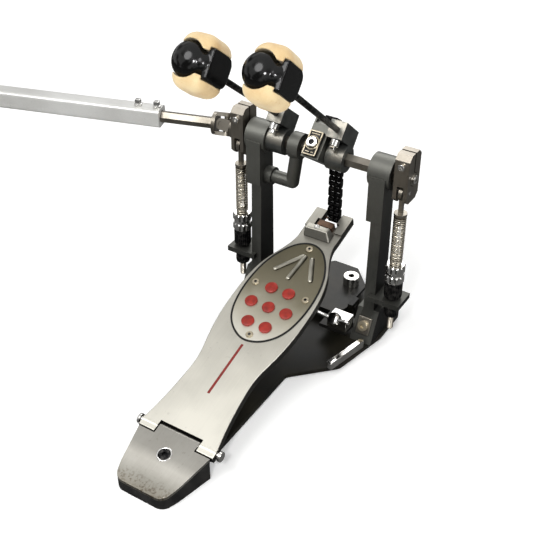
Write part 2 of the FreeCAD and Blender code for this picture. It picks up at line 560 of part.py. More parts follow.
def hub(name, x, lean):
    """A hub in the leaning frame: across, square to the rod, along the rod."""
    barrel = round_bar(name + "_barrel", "hub_barrel_radius", "hub_width + hub_barrel_long",
                       ("%s + hub_barrel_long / 2" % x, 0, 0))
    boss = block(name + "_boss", ("hub_width", "boss_across", "boss_length"),
                 (x, "rod_offset", "boss_top - boss_length / 2"))
    bore = round_bar(name + "_bore", "shaft_bore", "4 * hub_width", (x, 0, 0))
    rod_bore = round_bar(name + "_rod_bore", "rod_radius + running_gap", "4 * boss_length",
                         (x, "rod_offset", 0), along="Z")
    solid = cut(name + "_cut", fuse(name + "_solid", barrel, boss), bore, rod_bore)
    return place(solid, (0, 0, "shaft_height"), turn=lean)


def hub_screw(name, x, lean):
    screw = round_bar(name, "hub_screw_radius", "hub_screw_length",
                      (x, "rod_offset - boss_across / 2 - hub_screw_length / 2", "hub_screw_reach"), along="Y")
    return place(fuse(name + "_leaning", screw, round_bar(
        name + "_neck", "hub_screw_radius / 2", "hub_screw_length / 2",
        (x, "rod_offset - boss_across / 2 - hub_screw_length", "hub_screw_reach"), along="Y")),
        (0, 0, "shaft_height"), turn=lean)


node("right_hub", hub("right_hub_solid", "hub_right_x", "right_lean"))
node("slave_hub", hub("slave_hub_solid", "-hub_left_x", "left_lean"))


# Rockers: split blocks clamped on the shaft ends, with a clevis and pin for the spring's hook

def rocker(name, side):
    x = "%d * rocker_x" % side
    deep, bevel = "rocker_half_depth", "rocker_half_depth - rocker_bevel"
    top, foot = "shaft_height + rocker_top", "shaft_height - rocker_foot"
    outline = [(bevel, top), (deep, top + " - rocker_bevel"), (deep, foot + " + rocker_bevel"), (bevel, foot)]
    outline += [("-(%s)" % across, up) for across, up in reversed(outline)]
    solid = place(plate(name + "_block", outline, "rocker_width", side="YZ_Plane", middle=True), (x, 0, 0))
    clevis = block(name + "_clevis", ("clevis_width", "4 * rocker_half_depth", "rocker_foot"),
                   (x, 0, "shaft_height - clevis_top - rocker_foot / 2"))
    slit = block(name + "_slit", ("2 * rocker_width", "slit_width", "slit_length"),
                 (x, 0, "shaft_height + rocker_top - slit_length / 2 + overrun"))
    bore = round_bar(name + "_bore", "shaft_bore", "2 * rocker_width", (x, 0, "shaft_height"))
    pin_bore = round_bar(name + "_pin_bore", "pin_radius + running_gap", "2 * rocker_width",
                         (x, "-pin_forward", "pin_height"))
    node(name, cut(name + "_cut", solid, clevis, slit, bore, pin_bore))


def rocker_fasteners(name, side):
    x = "%d * rocker_x" % side
    pin = round_bar(name + "_pin", "pin_radius", "rocker_width", (x, "-pin_forward", "pin_height"))
    screw = round_bar(name + "_screw", "rocker_screw_radius", "rocker_screw_height",
                      (x, "-(rocker_half_depth + rocker_screw_height / 2)", "shaft_height + rocker_screw_rise"),
                      along="Y")
    return pin, screw


rocker("right_rocker", 1)
rocker("left_rocker", -1)
clamp_bolt_head = place(round_bar("cam_bolt", "clamp_bolt_radius", "clamp_bolt_height", (0, 0, 0), along="Z"),
                        (0, "-(cam_face_rise + clamp_plate_thickness) * sin(cam_face_turn)",
                         "shaft_height + (cam_face_rise + clamp_plate_thickness) * cos(cam_face_turn)"),
                        turn="cam_face_turn")
end_screw = round_bar("shaft_end_screw", "end_screw_radius", "end_screw_height",
                      ("rocker_outside + end_screw_height / 2", 0, "shaft_height"))
node("main_screws", bundle("main_screw_group", hub_screw("right_hub_screw", "hub_right_x", "right_lean"), clamp_bolt_head,
                           end_screw, *rocker_fasteners("right_rocker", 1)))
node("slave_screws", bundle("slave_screw_group", hub_screw("slave_hub_screw", "-hub_left_x", "left_lean"),
                            *rocker_fasteners("left_rocker", -1)))


# Beaters: a rod in the hub's boss, a black core with a dome and a neck at its tip, and felt pads on both faces

def beater(side_name, x, lean):
    middle = "head_reach"

    def leaning(thing):
        return place(thing, (0, 0, "shaft_height"), turn=lean)

    def rounded(name, solid, radius):
        eased = DOC.addObject("Part::Fillet", name)
        eased.Base = solid
        DOC.recompute()
        eased.Edges = [(number, value(radius), value(radius)) for number in range(1, len(solid.Shape.Edges) + 1)]
        return eased

    spine = block(side_name + "_spine", ("core_width", "core_depth", "core_length"),
                  (x, "rod_offset", middle + " - core_drop"))
    dome_at, neck_at = "%s - dome_out" % x, "%s + neck_out" % x
    dome = ball(side_name + "_dome", "dome_radius", (dome_at, "rod_offset", middle + " + dome_lift"))
    neck = ball(side_name + "_neck", "neck_radius", (neck_at, "rod_offset", middle + " + neck_lift"))

    def cheek(name, gap):
        slab = block(name, ("cheek_width + 2 * " + gap, "cheek_depth + 2 * " + gap, "cheek_length + 2 * " + gap),
                     ("%s + cheek_out" % x, "rod_offset", middle))
        return rounded(name + "_eased", slab, "cheek_round")

    length = "head_reach + rod_above + rod_below"
    rod = round_bar(side_name + "_rod_bar", "rod_radius", length, (x, 0, 0), along="Z")
    place(rod, (x, "rod_offset * cos(%s) + rod_below * sin(%s)" % (lean, lean),
                "shaft_height + rod_offset * sin(%s) - rod_below * cos(%s)" % (lean, lean)), turn=lean)
    node(side_name + "_rod", rod)
    bore = round_bar(side_name + "_core_bore", "rod_radius", "head_reach + rod_above",
                     (x, "rod_offset", "(head_reach + rod_above) / 2"), along="Z")
    node(side_name + "_core", leaning(cut(side_name + "_core_cut", fuse(
        side_name + "_core_solid", spine, dome, neck, cheek(side_name + "_cheek", "0")), bore)))
    pads = rounded(side_name + "_softened", block(
        side_name + "_pads", ("felt_width", "2 * felt_rise", "felt_length"), (x, "rod_offset", middle)), "felt_round")
    channel = block(side_name + "_channel", ("2 * felt_width", "core_depth + 2 * felt_gap", "2 * felt_length"),
                    (x, "rod_offset", middle))
    well = round_bar(side_name + "_well", "dome_radius + felt_gap", "felt_length",
                     (dome_at, "rod_offset", middle + " + dome_lift + felt_length / 2"), along="Z")
    hollow = ball(side_name + "_hollow", "dome_radius + felt_gap", (dome_at, "rod_offset", middle + " + dome_lift"))
    node(side_name + "_felt", leaning(cut(side_name + "_felt_cut", pads, channel, well, hollow,
                                          cheek(side_name + "_cheek_room", "felt_gap"))))


beater("right_beater", "hub_right_x", "right_lean")
beater("left_beater", "-hub_left_x", "left_lean")


# Return springs: a wound wire between a hook on the rocker's pin and a threaded adjuster on the shelf

def tangent_arcs(start, start_way, end, end_way):
    """Two arcs that leave one point, and reach another, in the given directions."""
    span, ways = end - start, start_way + end_way
    curve = 2 * (start_way.dot(end_way) - 1)
    reach = (span.dot(ways) - math.sqrt(span.dot(ways) ** 2 - curve * span.dot(span))) / curve
    corners = (start + start_way * reach, end - end_way * reach)
    meet = (corners[0] + corners[1]) / 2
    arcs = []
    for first, corner, last in ((start, corners[0], meet), (meet, corners[1], end)):
        half_turn = (corner - first).getAngle(last - corner) / 2
        chord = (first + last) / 2
        bulge = math.cos(half_turn) / (1 + math.cos(half_turn))
        arcs.append(Part.Arc(first, chord + (corner - chord) * bulge, last).toShape())
    return arcs


def wound_spring():
    """One unbroken wire round an upright axis, from its low end, and its least gap to itself."""
    radius, pitch, wire = value("spring_radius"), value("spring_pitch"), value("wire_diameter")
    halves = 2 * int(value("spring_turns"))

    def point(turns):
        angle = 2 * math.pi * turns
        return V(radius * math.cos(angle), radius * math.sin(angle), pitch * turns + wire / 2)

    def way(turns):
        angle = 2 * math.pi * turns
        along = V(-radius * math.sin(angle), radius * math.cos(angle), pitch / (2 * math.pi))
        return along.normalize()

    edges = [Part.LineSegment(point(0) - way(0) * wire, point(0)).toShape()]
    for half in range(halves):
        begin, end = half / 2, (half + 1) / 2
        edges += tangent_arcs(point(begin), way(begin), point(end), way(end))
    edges.append(Part.LineSegment(point(halves / 2), point(halves / 2) + way(halves / 2) * wire).toShape())
    path = Part.Wire(edges)
    ring = Part.Wire([Part.Circle(point(0) - way(0) * wire, way(0), wire / 2).toShape()])
    spring = path.makePipeShell([ring], True, False)
    samples = [point(step / 16) for step in range(33)]
    gap = min(low.distanceToPoint(high) for low in samples[:17] for high in samples[24:]) - wire
    print("spring: least gap between its turns %.2f mm" % gap)
    return spring


SPRING = wound_spring()


def spring_set(prefix, side):
    x, y = "%d * rocker_x" % side, "-pin_forward"

    def stack(name, radius, low, high):
        return round_bar("%s_%s" % (prefix, name), radius, "(%s) - (%s)" % (high, low),
                         (x, y, "((%s) + (%s)) / 2" % (low, high)), along="Z")

    eye = cut(prefix + "_eye", round_bar(prefix + "_eye_disc", "eye_outer", "hook_thickness", (x, y, "eye_height")),
              round_bar(prefix + "_eye_hole", "eye_radius", "2 * hook_thickness", (x, y, "eye_height")))
    shank_top, shank_foot = "eye_height - eye_radius - running_gap", "spring_high + plug_gap"
    shank = block(prefix + "_shank", ("hook_thickness", "shank_depth", "%s - (%s)" % (shank_top, shank_foot)),
                  (x, y, "(%s + %s) / 2" % (shank_top, shank_foot)))
    flange = stack("flange", "flange_radius", "spring_high + plug_gap", "spring_high + plug_gap + flange_height")
    plug = stack("plug", "plug_radius", "spring_high - plug_length", "spring_high + plug_gap + flange_height")
    node(prefix + "_hook", fuse(prefix + "_hook_solid", eye, shank, flange, plug))

    spring = formed(prefix + "_wire", SPRING.copy())
    node(prefix, place(spring, (x, y, "spring_low")))

    bolt_bore = stack("bolt_bore", "bolt_radius + running_gap", "bolt_tail - overrun", "spring_low - nut_groove")
    nut = fuse(prefix + "_nut", stack("nut_disc", "nut_radius", "sleeve_high", "nut_top"),
               stack("nut_plug", "plug_radius", "nut_top - overrun", "nut_top + plug_length"))
    groove_mid = "(sleeve_high + nut_top) / 2"
    groove = cut(prefix + "_groove", stack("groove_disc", "2 * nut_radius", groove_mid + " - nut_groove / 2",
                                           groove_mid + " + nut_groove / 2"),
                 stack("groove_core", "nut_radius - nut_groove_depth", "sleeve_high", "nut_top"))
    sleeve = fuse(prefix + "_sleeve", stack("sleeve_tube", "sleeve_radius", "sleeve_low", "sleeve_high"),
                  stack("sleeve_collar", "collar_radius", "sleeve_low - collar_height", "sleeve_low + overrun"))
    cap = fuse(prefix + "_cap", stack("cap_tube", "cap_radius", "cap_top - cap_height", "cap_top"),
               stack("cap_collar", "collar_radius", "cap_top - overrun", "cap_top + collar_height"))
    bolt = stack("bolt", "bolt_radius", "bolt_tail", "spring_low - nut_groove - running_gap")
    node(prefix + "_adjuster", bundle(prefix + "_adjuster_group", cut(prefix + "_nut_cut", nut, groove, bolt_bore),
                                      cut(prefix + "_sleeve_cut", sleeve, bolt_bore),
                                      cut(prefix + "_cap_cut", cap, bolt_bore), bolt))


spring_set("right_spring", 1)
spring_set("left_spring", -1)


# Footboards: cast boards in their own leaning frame, hinged at the heel pin

def smooth_edge(shares, start, length, half, level, inset=0):
    """Points of a board's right edge, at one level, from shares of its length and half width."""
    return [V(value(half) * wide - inset * (wide > 0), value(start) + value(length) * along, level)
            for along, wide in shares]


def mirrored(points):
    return [V(-point.x, point.y, point.z) for point in reversed(points)]


def through(points):
    curve = Part.BSplineCurve()
    curve.interpolate(points)
    return curve.toShape()


def straight(first, last):
    return Part.LineSegment(first, last).toShape()


def board_blank():
    """The board's outline, extruded, with its upper edge eased."""
    low = value("board_low")
    edge = smooth_edge(BOARD_EDGE_SHARES, "0", "board_length", "board_half", low)
    heel = V(edge[0].x, -value("heel_ear"), low)
    toe = [V(value("toe_half"), edge[-1].y + value("heel_ear"), low),
           V(value("toe_half"), value("board_length"), low)]
    left_edge, left_toe, left_heel = mirrored(edge), mirrored(toe), mirrored([heel])[0]
    outline = Part.Wire([straight(heel, edge[0]), through(edge), straight(edge[-1], toe[0]), straight(*toe),
                         straight(toe[1], left_toe[0]), straight(*left_toe), straight(left_toe[1], left_edge[0]),
                         through(left_edge), straight(left_edge[-1], left_heel), straight(left_heel, heel)])
    blank = Part.Face(outline).extrude(V(0, 0, value("board_thickness")))
    rim = [side for side in blank.Edges if side.BoundBox.ZMin > value("board_top - running_gap")]
    return blank.makeFillet(value("board_round"), rim)


def traction_shape(inset, low, high):
    edge = smooth_edge(TRACTION_EDGE_SHARES, "traction_start", "traction_length", "traction_half", low, inset)
    edge[0].y += inset
    edge[-1].y -= inset
    loop = Part.BSplineCurve()
    loop.interpolate(edge + mirrored(edge)[1:-1], PeriodicFlag=True)
    return Part.Face(Part.Wire([loop.toShape()])).extrude(V(0, 0, high - low))


BOARD_BLANK = board_blank()
TRACTION_RECESS = traction_shape(0, value("plate_low"), value("board_top + overrun"))
TRACTION_SHEET = traction_shape(value("traction_gap"), value("plate_low"), value("plate_top"))


def on_board(thing, x, y):
    return place(thing, (x, "%s - hinge_reach" % y, "hinge_height"), turn="board_angle")


def board(name, x, y):
    ears = [block(name + "_toe_ear", ("toe_half - toe_slot_half", "ear_length", "ear_rise + board_thickness / 2"),
                  ("%d * (toe_half + toe_slot_half) / 2" % side, "board_length - ear_length / 2",
                   "board_top + ear_rise / 2 - board_thickness / 4")) for side in (1, -1)]
    knuckles = [round_bar(name + "_knuckle", "knuckle_radius", "board_half - notch_half - overrun",
                          ("%d * (board_half - overrun + notch_half) / 2" % side, 0, 0)) for side in (1, -1)]
    notch = block(name + "_notch", ("2 * notch_half", "2 * notch_depth + 2 * heel_ear", "4 * board_thickness"),
                  (0, "-heel_ear", 0))
    pin_bore = round_bar(name + "_pin_bore", "hinge_pin_radius + running_gap", "4 * board_half", (0, 0, 0))
    toe_slot = block(name + "_toe_slot", ("2 * toe_slot_half", "toe_slot_length + overrun", "8 * board_thickness"),
                     (0, "board_length - toe_slot_length / 2 + overrun / 2", 0))
    toe_bore = round_bar(name + "_toe_bore", "chain_pin_radius + running_gap", "4 * toe_half",
                         (0, "toe_pin_along", "toe_pin_rise"))
    toe_recess = block(name + "_toe_recess", ("2 * toe_recess_half", "toe_recess_length", "2 * toe_recess_depth"),
                       (0, "board_length - toe_slot_length - toe_recess_length / 2 + overrun", "board_top"))
    recess = formed(name + "_recess", TRACTION_RECESS.copy())
    solid = fuse(name + "_solid", formed(name + "_blank", BOARD_BLANK.copy()), *ears, *knuckles)
    return on_board(cut(name + "_cut", solid, notch, pin_bore, toe_slot, toe_bore, toe_recess, recess), x, y)


def grip_set(name, x, y):
    spots = [(0, 0), (1, 0), (-1, 0), (0.5, 1), (-0.5, 1), (0.5, -1), (-0.5, -1)]
    grips = []
    for across, along in spots:
        at = ("%s * grip_step" % across, "grip_centre + %s * grip_row" % along)
        wall = round_bar(name + "_wall", "grip_radius", "grip_height - grip_dome",
                         (*at, "plate_top + (grip_height - grip_dome) / 2"), along="Z")
        crown = DOC.addObject("Part::Cone", name + "_crown")
        bind(crown, "Radius1", "grip_radius")
        bind(crown, "Radius2", "grip_radius - 2 * grip_dome")
        bind(crown, "Height", "grip_dome")
        place(crown, (*at, "plate_top + grip_height - grip_dome"))
        grips.append(fuse(name + "_grip", wall, crown))
    return on_board(bundle(name, *grips), x, y)


def plate_screws(name):
    spots = [(0, "plate_screw_low"), (0, "plate_screw_high"), ("plate_screw_side", "plate_screw_mid"),
             ("-plate_screw_side", "plate_screw_mid")]
    screws = []
    for across, along in spots:
        head = round_bar(name + "_head", "plate_screw_radius", "plate_screw_height",
                         (across, along, "plate_top + plate_screw_height / 2"), along="Z")
        socket = round_bar(name + "_socket", "screw_socket_radius", "plate_screw_height",
                           (across, along, "plate_top + plate_screw_height"), along="Z")
        screws.append(cut(name + "_screw", head, socket))
    screws.append(round_bar(name + "_toe", "plate_screw_radius", "plate_screw_height",
                            (0, "board_length - toe_slot_length - toe_recess_length + overrun"
                                " + plate_screw_radius + 2 * toe_block_gap",
                             "board_top - toe_recess_depth + plate_screw_height / 2"), along="Z"))
    return on_board(bundle(name, *screws), 0, "0")


def toe_pin(name):
    pin = round_bar(name + "_pin", "chain_pin_radius", "2 * toe_half - overrun",
                    (0, "toe_pin_along", "toe_pin_rise"))
    return bundle(name + "_pin_alone", pin)


def toe_block_set(name):
    """The chain's clamp block between the toe's ears, and the pin that the chain hangs on."""
    lump = block(name + "_lump", ("2 * (toe_slot_half - toe_block_gap)", "toe_block_length", "toe_block_height"),
                 (0, "board_length - toe_slot_length - toe_block_length / 2 - toe_block_gap",
                  "board_top - toe_recess_depth + toe_block_height / 2"))
    return on_board(bundle(name, lump, toe_pin(name)), 0, "0")


node("footboard", board("board", 0, "0"))
node("traction_plate", on_board(formed("traction_sheet", TRACTION_SHEET.copy()), 0, "0"))
node("grips", grip_set("grip_group", 0, "0"))
node("board_screws", plate_screws("screw_group"))
node("toe_block", toe_block_set("toe_group"))


# Chain: a straight run from the toe pin, and a bent stretch on the cam up to its anchor

def link_plate(first, last, offset, thickness):
    """One figure-eight side plate, as a slot shape across the shaft's direction."""
    height = value("chain_plate_height") / 2
    way = (last - first).normalize() * height
    out = V(0, -way.z, way.y)
    outline = Part.Wire([straight(first + out, last + out), Part.Arc(last + out, last + way, last - out).toShape(),
                         straight(last - out, first - out),
                         Part.Arc(first - out, first - way, first + out).toShape()])
    shape = Part.Face(outline).extrude(V(thickness, 0, 0))
    shape.translate(V(offset - thickness / 2, 0, 0))
    return shape


def chain_stretch(joints, first_link, bored, open_end):
    """Links through a list of joints: inner and outer plates in turn, with a hollow roller at the bored joint."""
    thickness, inner, outer = (value(name) for name in ("chain_plate_thickness", "chain_inner_offset",
                                                        "chain_outer_offset"))
    solids = []
    for count, (first, last) in enumerate(zip(joints, joints[1:])):
        if (first_link + count) % 2:
            offsets = [(outer, thickness), (-outer, thickness)]
        else:
            offsets = [(inner, thickness), (-inner, thickness), (0, value("chain_mid_thickness"))]
        solids += [link_plate(first, last, offset, wide) for offset, wide in offsets]
    half = inner + thickness / 2
    for joint in joints[open_end:]:
        across = half if joint is joints[-1] or joint is joints[0] else outer
        solids.append(Part.makeCylinder(value("chain_roller_radius"), 2 * across, joint - V(across, 0, 0), V(1, 0, 0)))
    bore = Part.makeCylinder(value("chain_pin_radius + running_gap"), 4 * half, bored - V(2 * half, 0, 0), V(1, 0, 0))
    return solids[0].multiFuse(solids[1:]).removeSplitter().cut(bore)


def chain_run_shape():
    radius, low, pitch = value("chain_radius"), value("toe_pin_height"), value("chain_pitch")
    joints = [V(0, radius, low + pitch * count) for count in range(int(value("run_links")) + 1)]
    return chain_stretch(joints, 0, joints[0], 0)


def chain_bend_shape():
    radius, turn = value("chain_radius"), math.radians(value("link_turn"))
    top = value("shaft_height")
    joints = [V(0, radius, top - value("chain_pitch") / 2)]
    for count in range(int(value("bend_links")) + 1):
        angle = (count + 0.5) * turn
        joints.append(V(0, radius * math.cos(angle), top + radius * math.sin(angle)))
    return chain_stretch(joints, 1, joints[-1], 1)


CHAIN_RUN = chain_run_shape()
CHAIN_BEND = chain_bend_shape()
node("chain_run", place(formed("run_links_solid", CHAIN_RUN.copy()), (0, 0, 0)))
node("chain_bend", place(formed("bend_links_solid", CHAIN_BEND.copy()), (0, 0, 0)))


# Drive shaft: two universal joints, an inner rod and a tube that slides over it

def drive_way():
    turn = math.radians(value("shaft_turn"))
    return V(-math.cos(turn), -math.sin(turn), 0)


WAY = drive_way()
AXLE = V(1, 0, 0)
NEAR = V(-value("joint_x"), 0, value("shaft_height"))
FAR = NEAR + WAY * value("joint_span")
PIN_TURN = math.radians(value("yoke_pin_turn"))
AXLE_PIN = V(0, -math.sin(PIN_TURN), math.cos(PIN_TURN))
ROD_PIN = WAY.cross(AXLE_PIN).normalize()


def bar_between(first, last, radius):
    return Part.makeCylinder(radius, first.distanceToPoint(last), first, last - first)


def cross(centre):
    """A universal joint's spider: a small block with two crossed pins."""
    half = value("cross_pin_half")
    pins = [bar_between(centre - pin * half, centre + pin * half, value("cross_pin_radius"))
            for pin in (AXLE_PIN, ROD_PIN)]
    middle = Part.makeSphere(value("cross_body") / 2 + value("running_gap"), centre)
    return middle.multiFuse(pins).removeSplitter()


def yoke(centre, back, pin, gap):
    """A fork that reaches from its base to the joint's centre and holds one pin of the spider."""
    inside, thick = value("ear_inside"), value("ear_thickness")
    reach, width = value("yoke_reach"), value("ear_radius")
    sideways = back.cross(pin).normalize()
    ears = []
    for side in (1, -1):
        corner = centre + pin * (side * inside)
        outward = pin * (side * thick)
        outline = Part.Wire([straight(corner - sideways * width, corner - sideways * width + back * reach),
                             straight(corner - sideways * width + back * reach,
                                      corner + sideways * width + back * reach),
                             straight(corner + sideways * width + back * reach, corner + sideways * width),
                             Part.Arc(corner + sideways * width, corner - back * width,
                                      corner - sideways * width).toShape()])
        ears.append(Part.Face(outline).extrude(outward))
    base = Part.makeCylinder(inside + thick, value("yoke_base_thickness"), centre + back * reach, back)
    bore = bar_between(centre - pin * (2 * inside), centre + pin * (2 * inside), value("cross_pin_radius") + gap)
    return base.multiFuse(ears).cut(bore).removeSplitter()


def six_sided(start, way, across, length):
    """A hexagonal bar along any direction."""
    corners = [V(across / 2 / math.cos(math.pi / 6) * math.cos(math.pi / 3 * step),
                 across / 2 / math.cos(math.pi / 6) * math.sin(math.pi / 3 * step), 0) for step in range(7)]
    bar = Part.Face(Part.makePolygon(corners)).extrude(V(0, 0, length))
    bar.Placement = FreeCAD.Placement(start, FreeCAD.Rotation(V(0, 0, 1), way))
    return bar


TIGHT = value("running_gap")
LOOSE = value("open_pin_gap")
BASE_END = value("yoke_reach + yoke_base_thickness")

# Slave shaft: journal in the centre ring, hexagonal bar, and the near joint's yoke
slave_inner = "-(arm_ring_x + journal_gap / 2)"
slave_hex_end = "-(ring_outside + seat_gap)"
slave_journal = round_bar("slave_journal", "journal_radius", "%s - (%s) + overrun" % (slave_inner, slave_hex_end),
                          ("(%s + %s - overrun) / 2" % (slave_inner, slave_hex_end), 0, "shaft_height"))
slave_hex = hex_bar("slave_hex", "hex_radius", "joint_x - yoke_reach - (ring_outside + seat_gap)",
                    ("-(joint_x - yoke_reach + ring_outside + seat_gap) / 2", 0, "shaft_height"))
slave_yoke = formed("slave_yoke", yoke(NEAR, AXLE, AXLE_PIN, TIGHT))
node("slave_shaft", fuse("slave_shaft_solid", slave_journal, slave_hex, slave_yoke))

node("near_cross", formed("near_spider", cross(NEAR)))
ROD_BAR = six_sided(NEAR + WAY * value("yoke_reach"), WAY, value("rod_across"), value("rod_end - yoke_reach"))
node("drive_rod", formed("inner_rod", yoke(NEAR, WAY, ROD_PIN, LOOSE).fuse(ROD_BAR).removeSplitter()))


def tube_profile():
    """A square with rounded corners, level at rest, drawn across the drive shaft's direction."""
    half, corner = value("tube_across") / 2, value("tube_corner")
    level, up = V(WAY.y, -WAY.x, 0), V(0, 0, 1)
    square = Part.makeBox(2 * half, 2 * half, value("joint_span - tube_start") - BASE_END,
                          V(-half, -half, 0))
    long_edges = [edge for edge in square.Edges if abs(edge.tangentAt(edge.FirstParameter).z) > 0.999]
    tube = square.makeFillet(corner, long_edges)
    turned = FreeCAD.Rotation(level, up, WAY, "ZXY")
    tube.Placement = FreeCAD.Placement(NEAR + WAY * value("tube_start"), turned)
    return tube


TUBE_END = NEAR + WAY * (value("joint_span") - BASE_END)
bore_radius = value("rod_across / 2 / cos(30) + tube_bore_gap")
TUBE_BORE = bar_between(NEAR + WAY * (value("tube_start") - value("overrun")),
                        NEAR + WAY * value("rod_end + tube_across"), bore_radius)
node("drive_tube", formed("outer_tube", tube_profile().fuse(yoke(FAR, WAY * -1, ROD_PIN, LOOSE)).cut(TUBE_BORE)))


def tube_screw(along):
    """A collar and a square head on the tube's upper face."""
    foot = NEAR + WAY * along + V(0, 0, value("tube_across") / 2)
    half, height = value("tube_screw_across") / 2, value("tube_screw_height")
    head = Part.makeBox(2 * half, 2 * half, height, V(-half, -half, 0))
    head.Placement = FreeCAD.Placement(foot, FreeCAD.Rotation(V(0, 0, 1), value("shaft_turn")))
    return head.fuse(Part.makeCylinder(value("tube_screw_collar"), height / 3, foot)).removeSplitter()


node("tube_screws", bundle("tube_screw_pair", *[formed("tube_screw", tube_screw(
    value("tube_screw_first") + value("tube_screw_step") * count)) for count in range(2)]))
node("far_cross", formed("far_spider", cross(FAR)))

# Second pedal: frame, shaft, cam, chain and footboard beyond the drive shaft, made like the main pedal's
second_base = place(plate("second_sheet", both_sides([
    ("base_tail_half", "-heel_front"), ("base_tail_half", "-base_flare_start"),
    ("second_base_half", "-base_flare_end"), ("second_base_half", "second_front")]), "base_top",
    corner="base_corner"), ("second_x", "second_y", 0))
node("second_base", second_base)


def second_post(name, side):
    x = "second_x + %d * post_reach" % side
    bore = round_bar(name + "_bore", "bearing_bore", "2 * housing_length", (x, "second_y", "shaft_height"))
    node(name, cut(name + "_cut", fuse(name + "_solid", *post_column(name, x, "second_y")), bore))


second_post("second_right_post", 1)
second_post("second_left_post", -1)
second_start = "second_x - housing_outside"
second_end = "joint_far_x - yoke_reach"
second_hex = hex_bar("second_hex", "hex_radius", "%s - (%s)" % (second_end, second_start),
                     ("(%s + %s) / 2" % (second_end, second_start), "second_y", "shaft_height"))
node("second_shaft", fuse("second_shaft_solid", second_hex,
                          formed("second_yoke", yoke(FAR, AXLE * -1, AXLE_PIN, TIGHT))))
node("second_cam", cam("second_cam_solid", "second_x", "second_y"))
node("second_chain_run", place(formed("second_run", CHAIN_RUN.copy()), ("second_x", "second_y", 0)))
node("second_chain_bend", place(formed("second_bend", CHAIN_BEND.copy()), ("second_x", "second_y", 0)))
second_toe_pin = on_board(toe_pin("second_toe_pin"), "second_x", "second_y")
node("second_footboard", fuse("second_board_solid", board("second_board", "second_x", "second_y"), second_toe_pin))
node("second_traction_plate", on_board(formed("second_traction", TRACTION_SHEET.copy()), "second_x", "second_y"))
node("second_grips", grip_set("second_grip_group", "second_x", "second_y"))
node("second_heel", fuse("second_heel_solid", *heel_pieces("second_heel", "second_x", "second_y"),
                         hinge_bar("second_pin", "second_x", "second_y")))

DOC.recompute()
for thing in DOC.Objects:
    if {"Invalid", "Error"} & set(thing.State):
        raise RuntimeError("%s did not build" % thing.Label)
for thing in NODES:
    if thing.Shape.isNull() or not thing.Shape.isValid():
        raise RuntimeError("%s has no valid shape" % thing.Label)

os.makedirs("parts", exist_ok=True)
for thing in NODES:
    thing.Shape.exportStep("parts/%s.step" % thing.Label)
    print("%-22s %2d solid(s) %10.1f mm3" % (thing.Label, len(thing.Shape.Solids), thing.Shape.Volume))
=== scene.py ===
import json
import math

import bmesh
import bpy
from mathutils import Matrix, Vector

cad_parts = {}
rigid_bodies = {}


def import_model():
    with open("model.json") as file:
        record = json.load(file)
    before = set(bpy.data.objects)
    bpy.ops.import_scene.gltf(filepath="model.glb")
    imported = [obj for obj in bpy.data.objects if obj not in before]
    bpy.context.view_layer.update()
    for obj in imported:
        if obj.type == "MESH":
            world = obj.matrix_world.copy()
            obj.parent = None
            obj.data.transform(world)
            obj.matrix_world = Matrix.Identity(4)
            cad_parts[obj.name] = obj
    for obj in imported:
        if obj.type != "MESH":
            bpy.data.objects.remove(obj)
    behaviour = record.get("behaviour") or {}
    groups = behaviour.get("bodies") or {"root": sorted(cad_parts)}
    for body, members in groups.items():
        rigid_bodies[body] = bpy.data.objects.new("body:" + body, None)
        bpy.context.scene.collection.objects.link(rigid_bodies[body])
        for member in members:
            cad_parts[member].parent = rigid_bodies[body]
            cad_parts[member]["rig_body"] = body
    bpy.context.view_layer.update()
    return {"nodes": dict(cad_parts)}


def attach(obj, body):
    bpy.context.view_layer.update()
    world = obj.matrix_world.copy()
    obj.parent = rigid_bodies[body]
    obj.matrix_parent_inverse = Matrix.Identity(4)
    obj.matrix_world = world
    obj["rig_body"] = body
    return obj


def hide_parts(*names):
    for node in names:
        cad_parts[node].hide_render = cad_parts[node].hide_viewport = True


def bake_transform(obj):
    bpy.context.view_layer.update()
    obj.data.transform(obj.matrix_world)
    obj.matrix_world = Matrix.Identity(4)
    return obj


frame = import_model()

# Studio: a pale seamless floor under soft lamps, seen from where the photograph was taken.
# None of it belongs to the pedal. The camera sees white, and polished metal sees soft boxes in a dim room.
MM = 0.001
CAMERA_AT = (0.3864, -0.7151, 0.6449)
CAMERA_ROUND, CAMERA_DOWN, CAMERA_ROLL = 32.27, 35.69, -0.14
CAMERA_FOCUS_PIXELS, PHOTO_PIXELS, SENSOR_WIDTH = 923.0, 533, 36.0
FLOOR_HALF, FLOOR_DROP = 9.0, 0.0004
FLOOR_LIFT, FAR_LIFT, FLOOR_DIM = 0.22, 0.75, 0.85
LAMPS = {"key_lamp": ((-0.55, -1.25, 1.75), 1.0, 16.0),
         "side_lamp": ((1.60, -0.30, 1.30), 0.9, 11.0),
         "back_lamp": ((-0.70, 1.50, 1.50), 1.2, 12.0),
         "flash": ((0.34, -1.05, 1.00), 0.17, 5.5)}
LAMP_TARGET = Vector((-0.05, -0.08, 0.15))
WORLD_LIGHT, ROOM_DIM, ROOM_BRIGHT = 0.42, 0.10, 0.95


def ink(code):
    """A colour of six hex digits, in the linear values that shaders take."""
    parts = [int(code[at:at + 2], 16) / 255 for at in (0, 2, 4)]
    return (*[((part + 0.055) / 1.055) ** 2.4 for part in parts], 1.0)


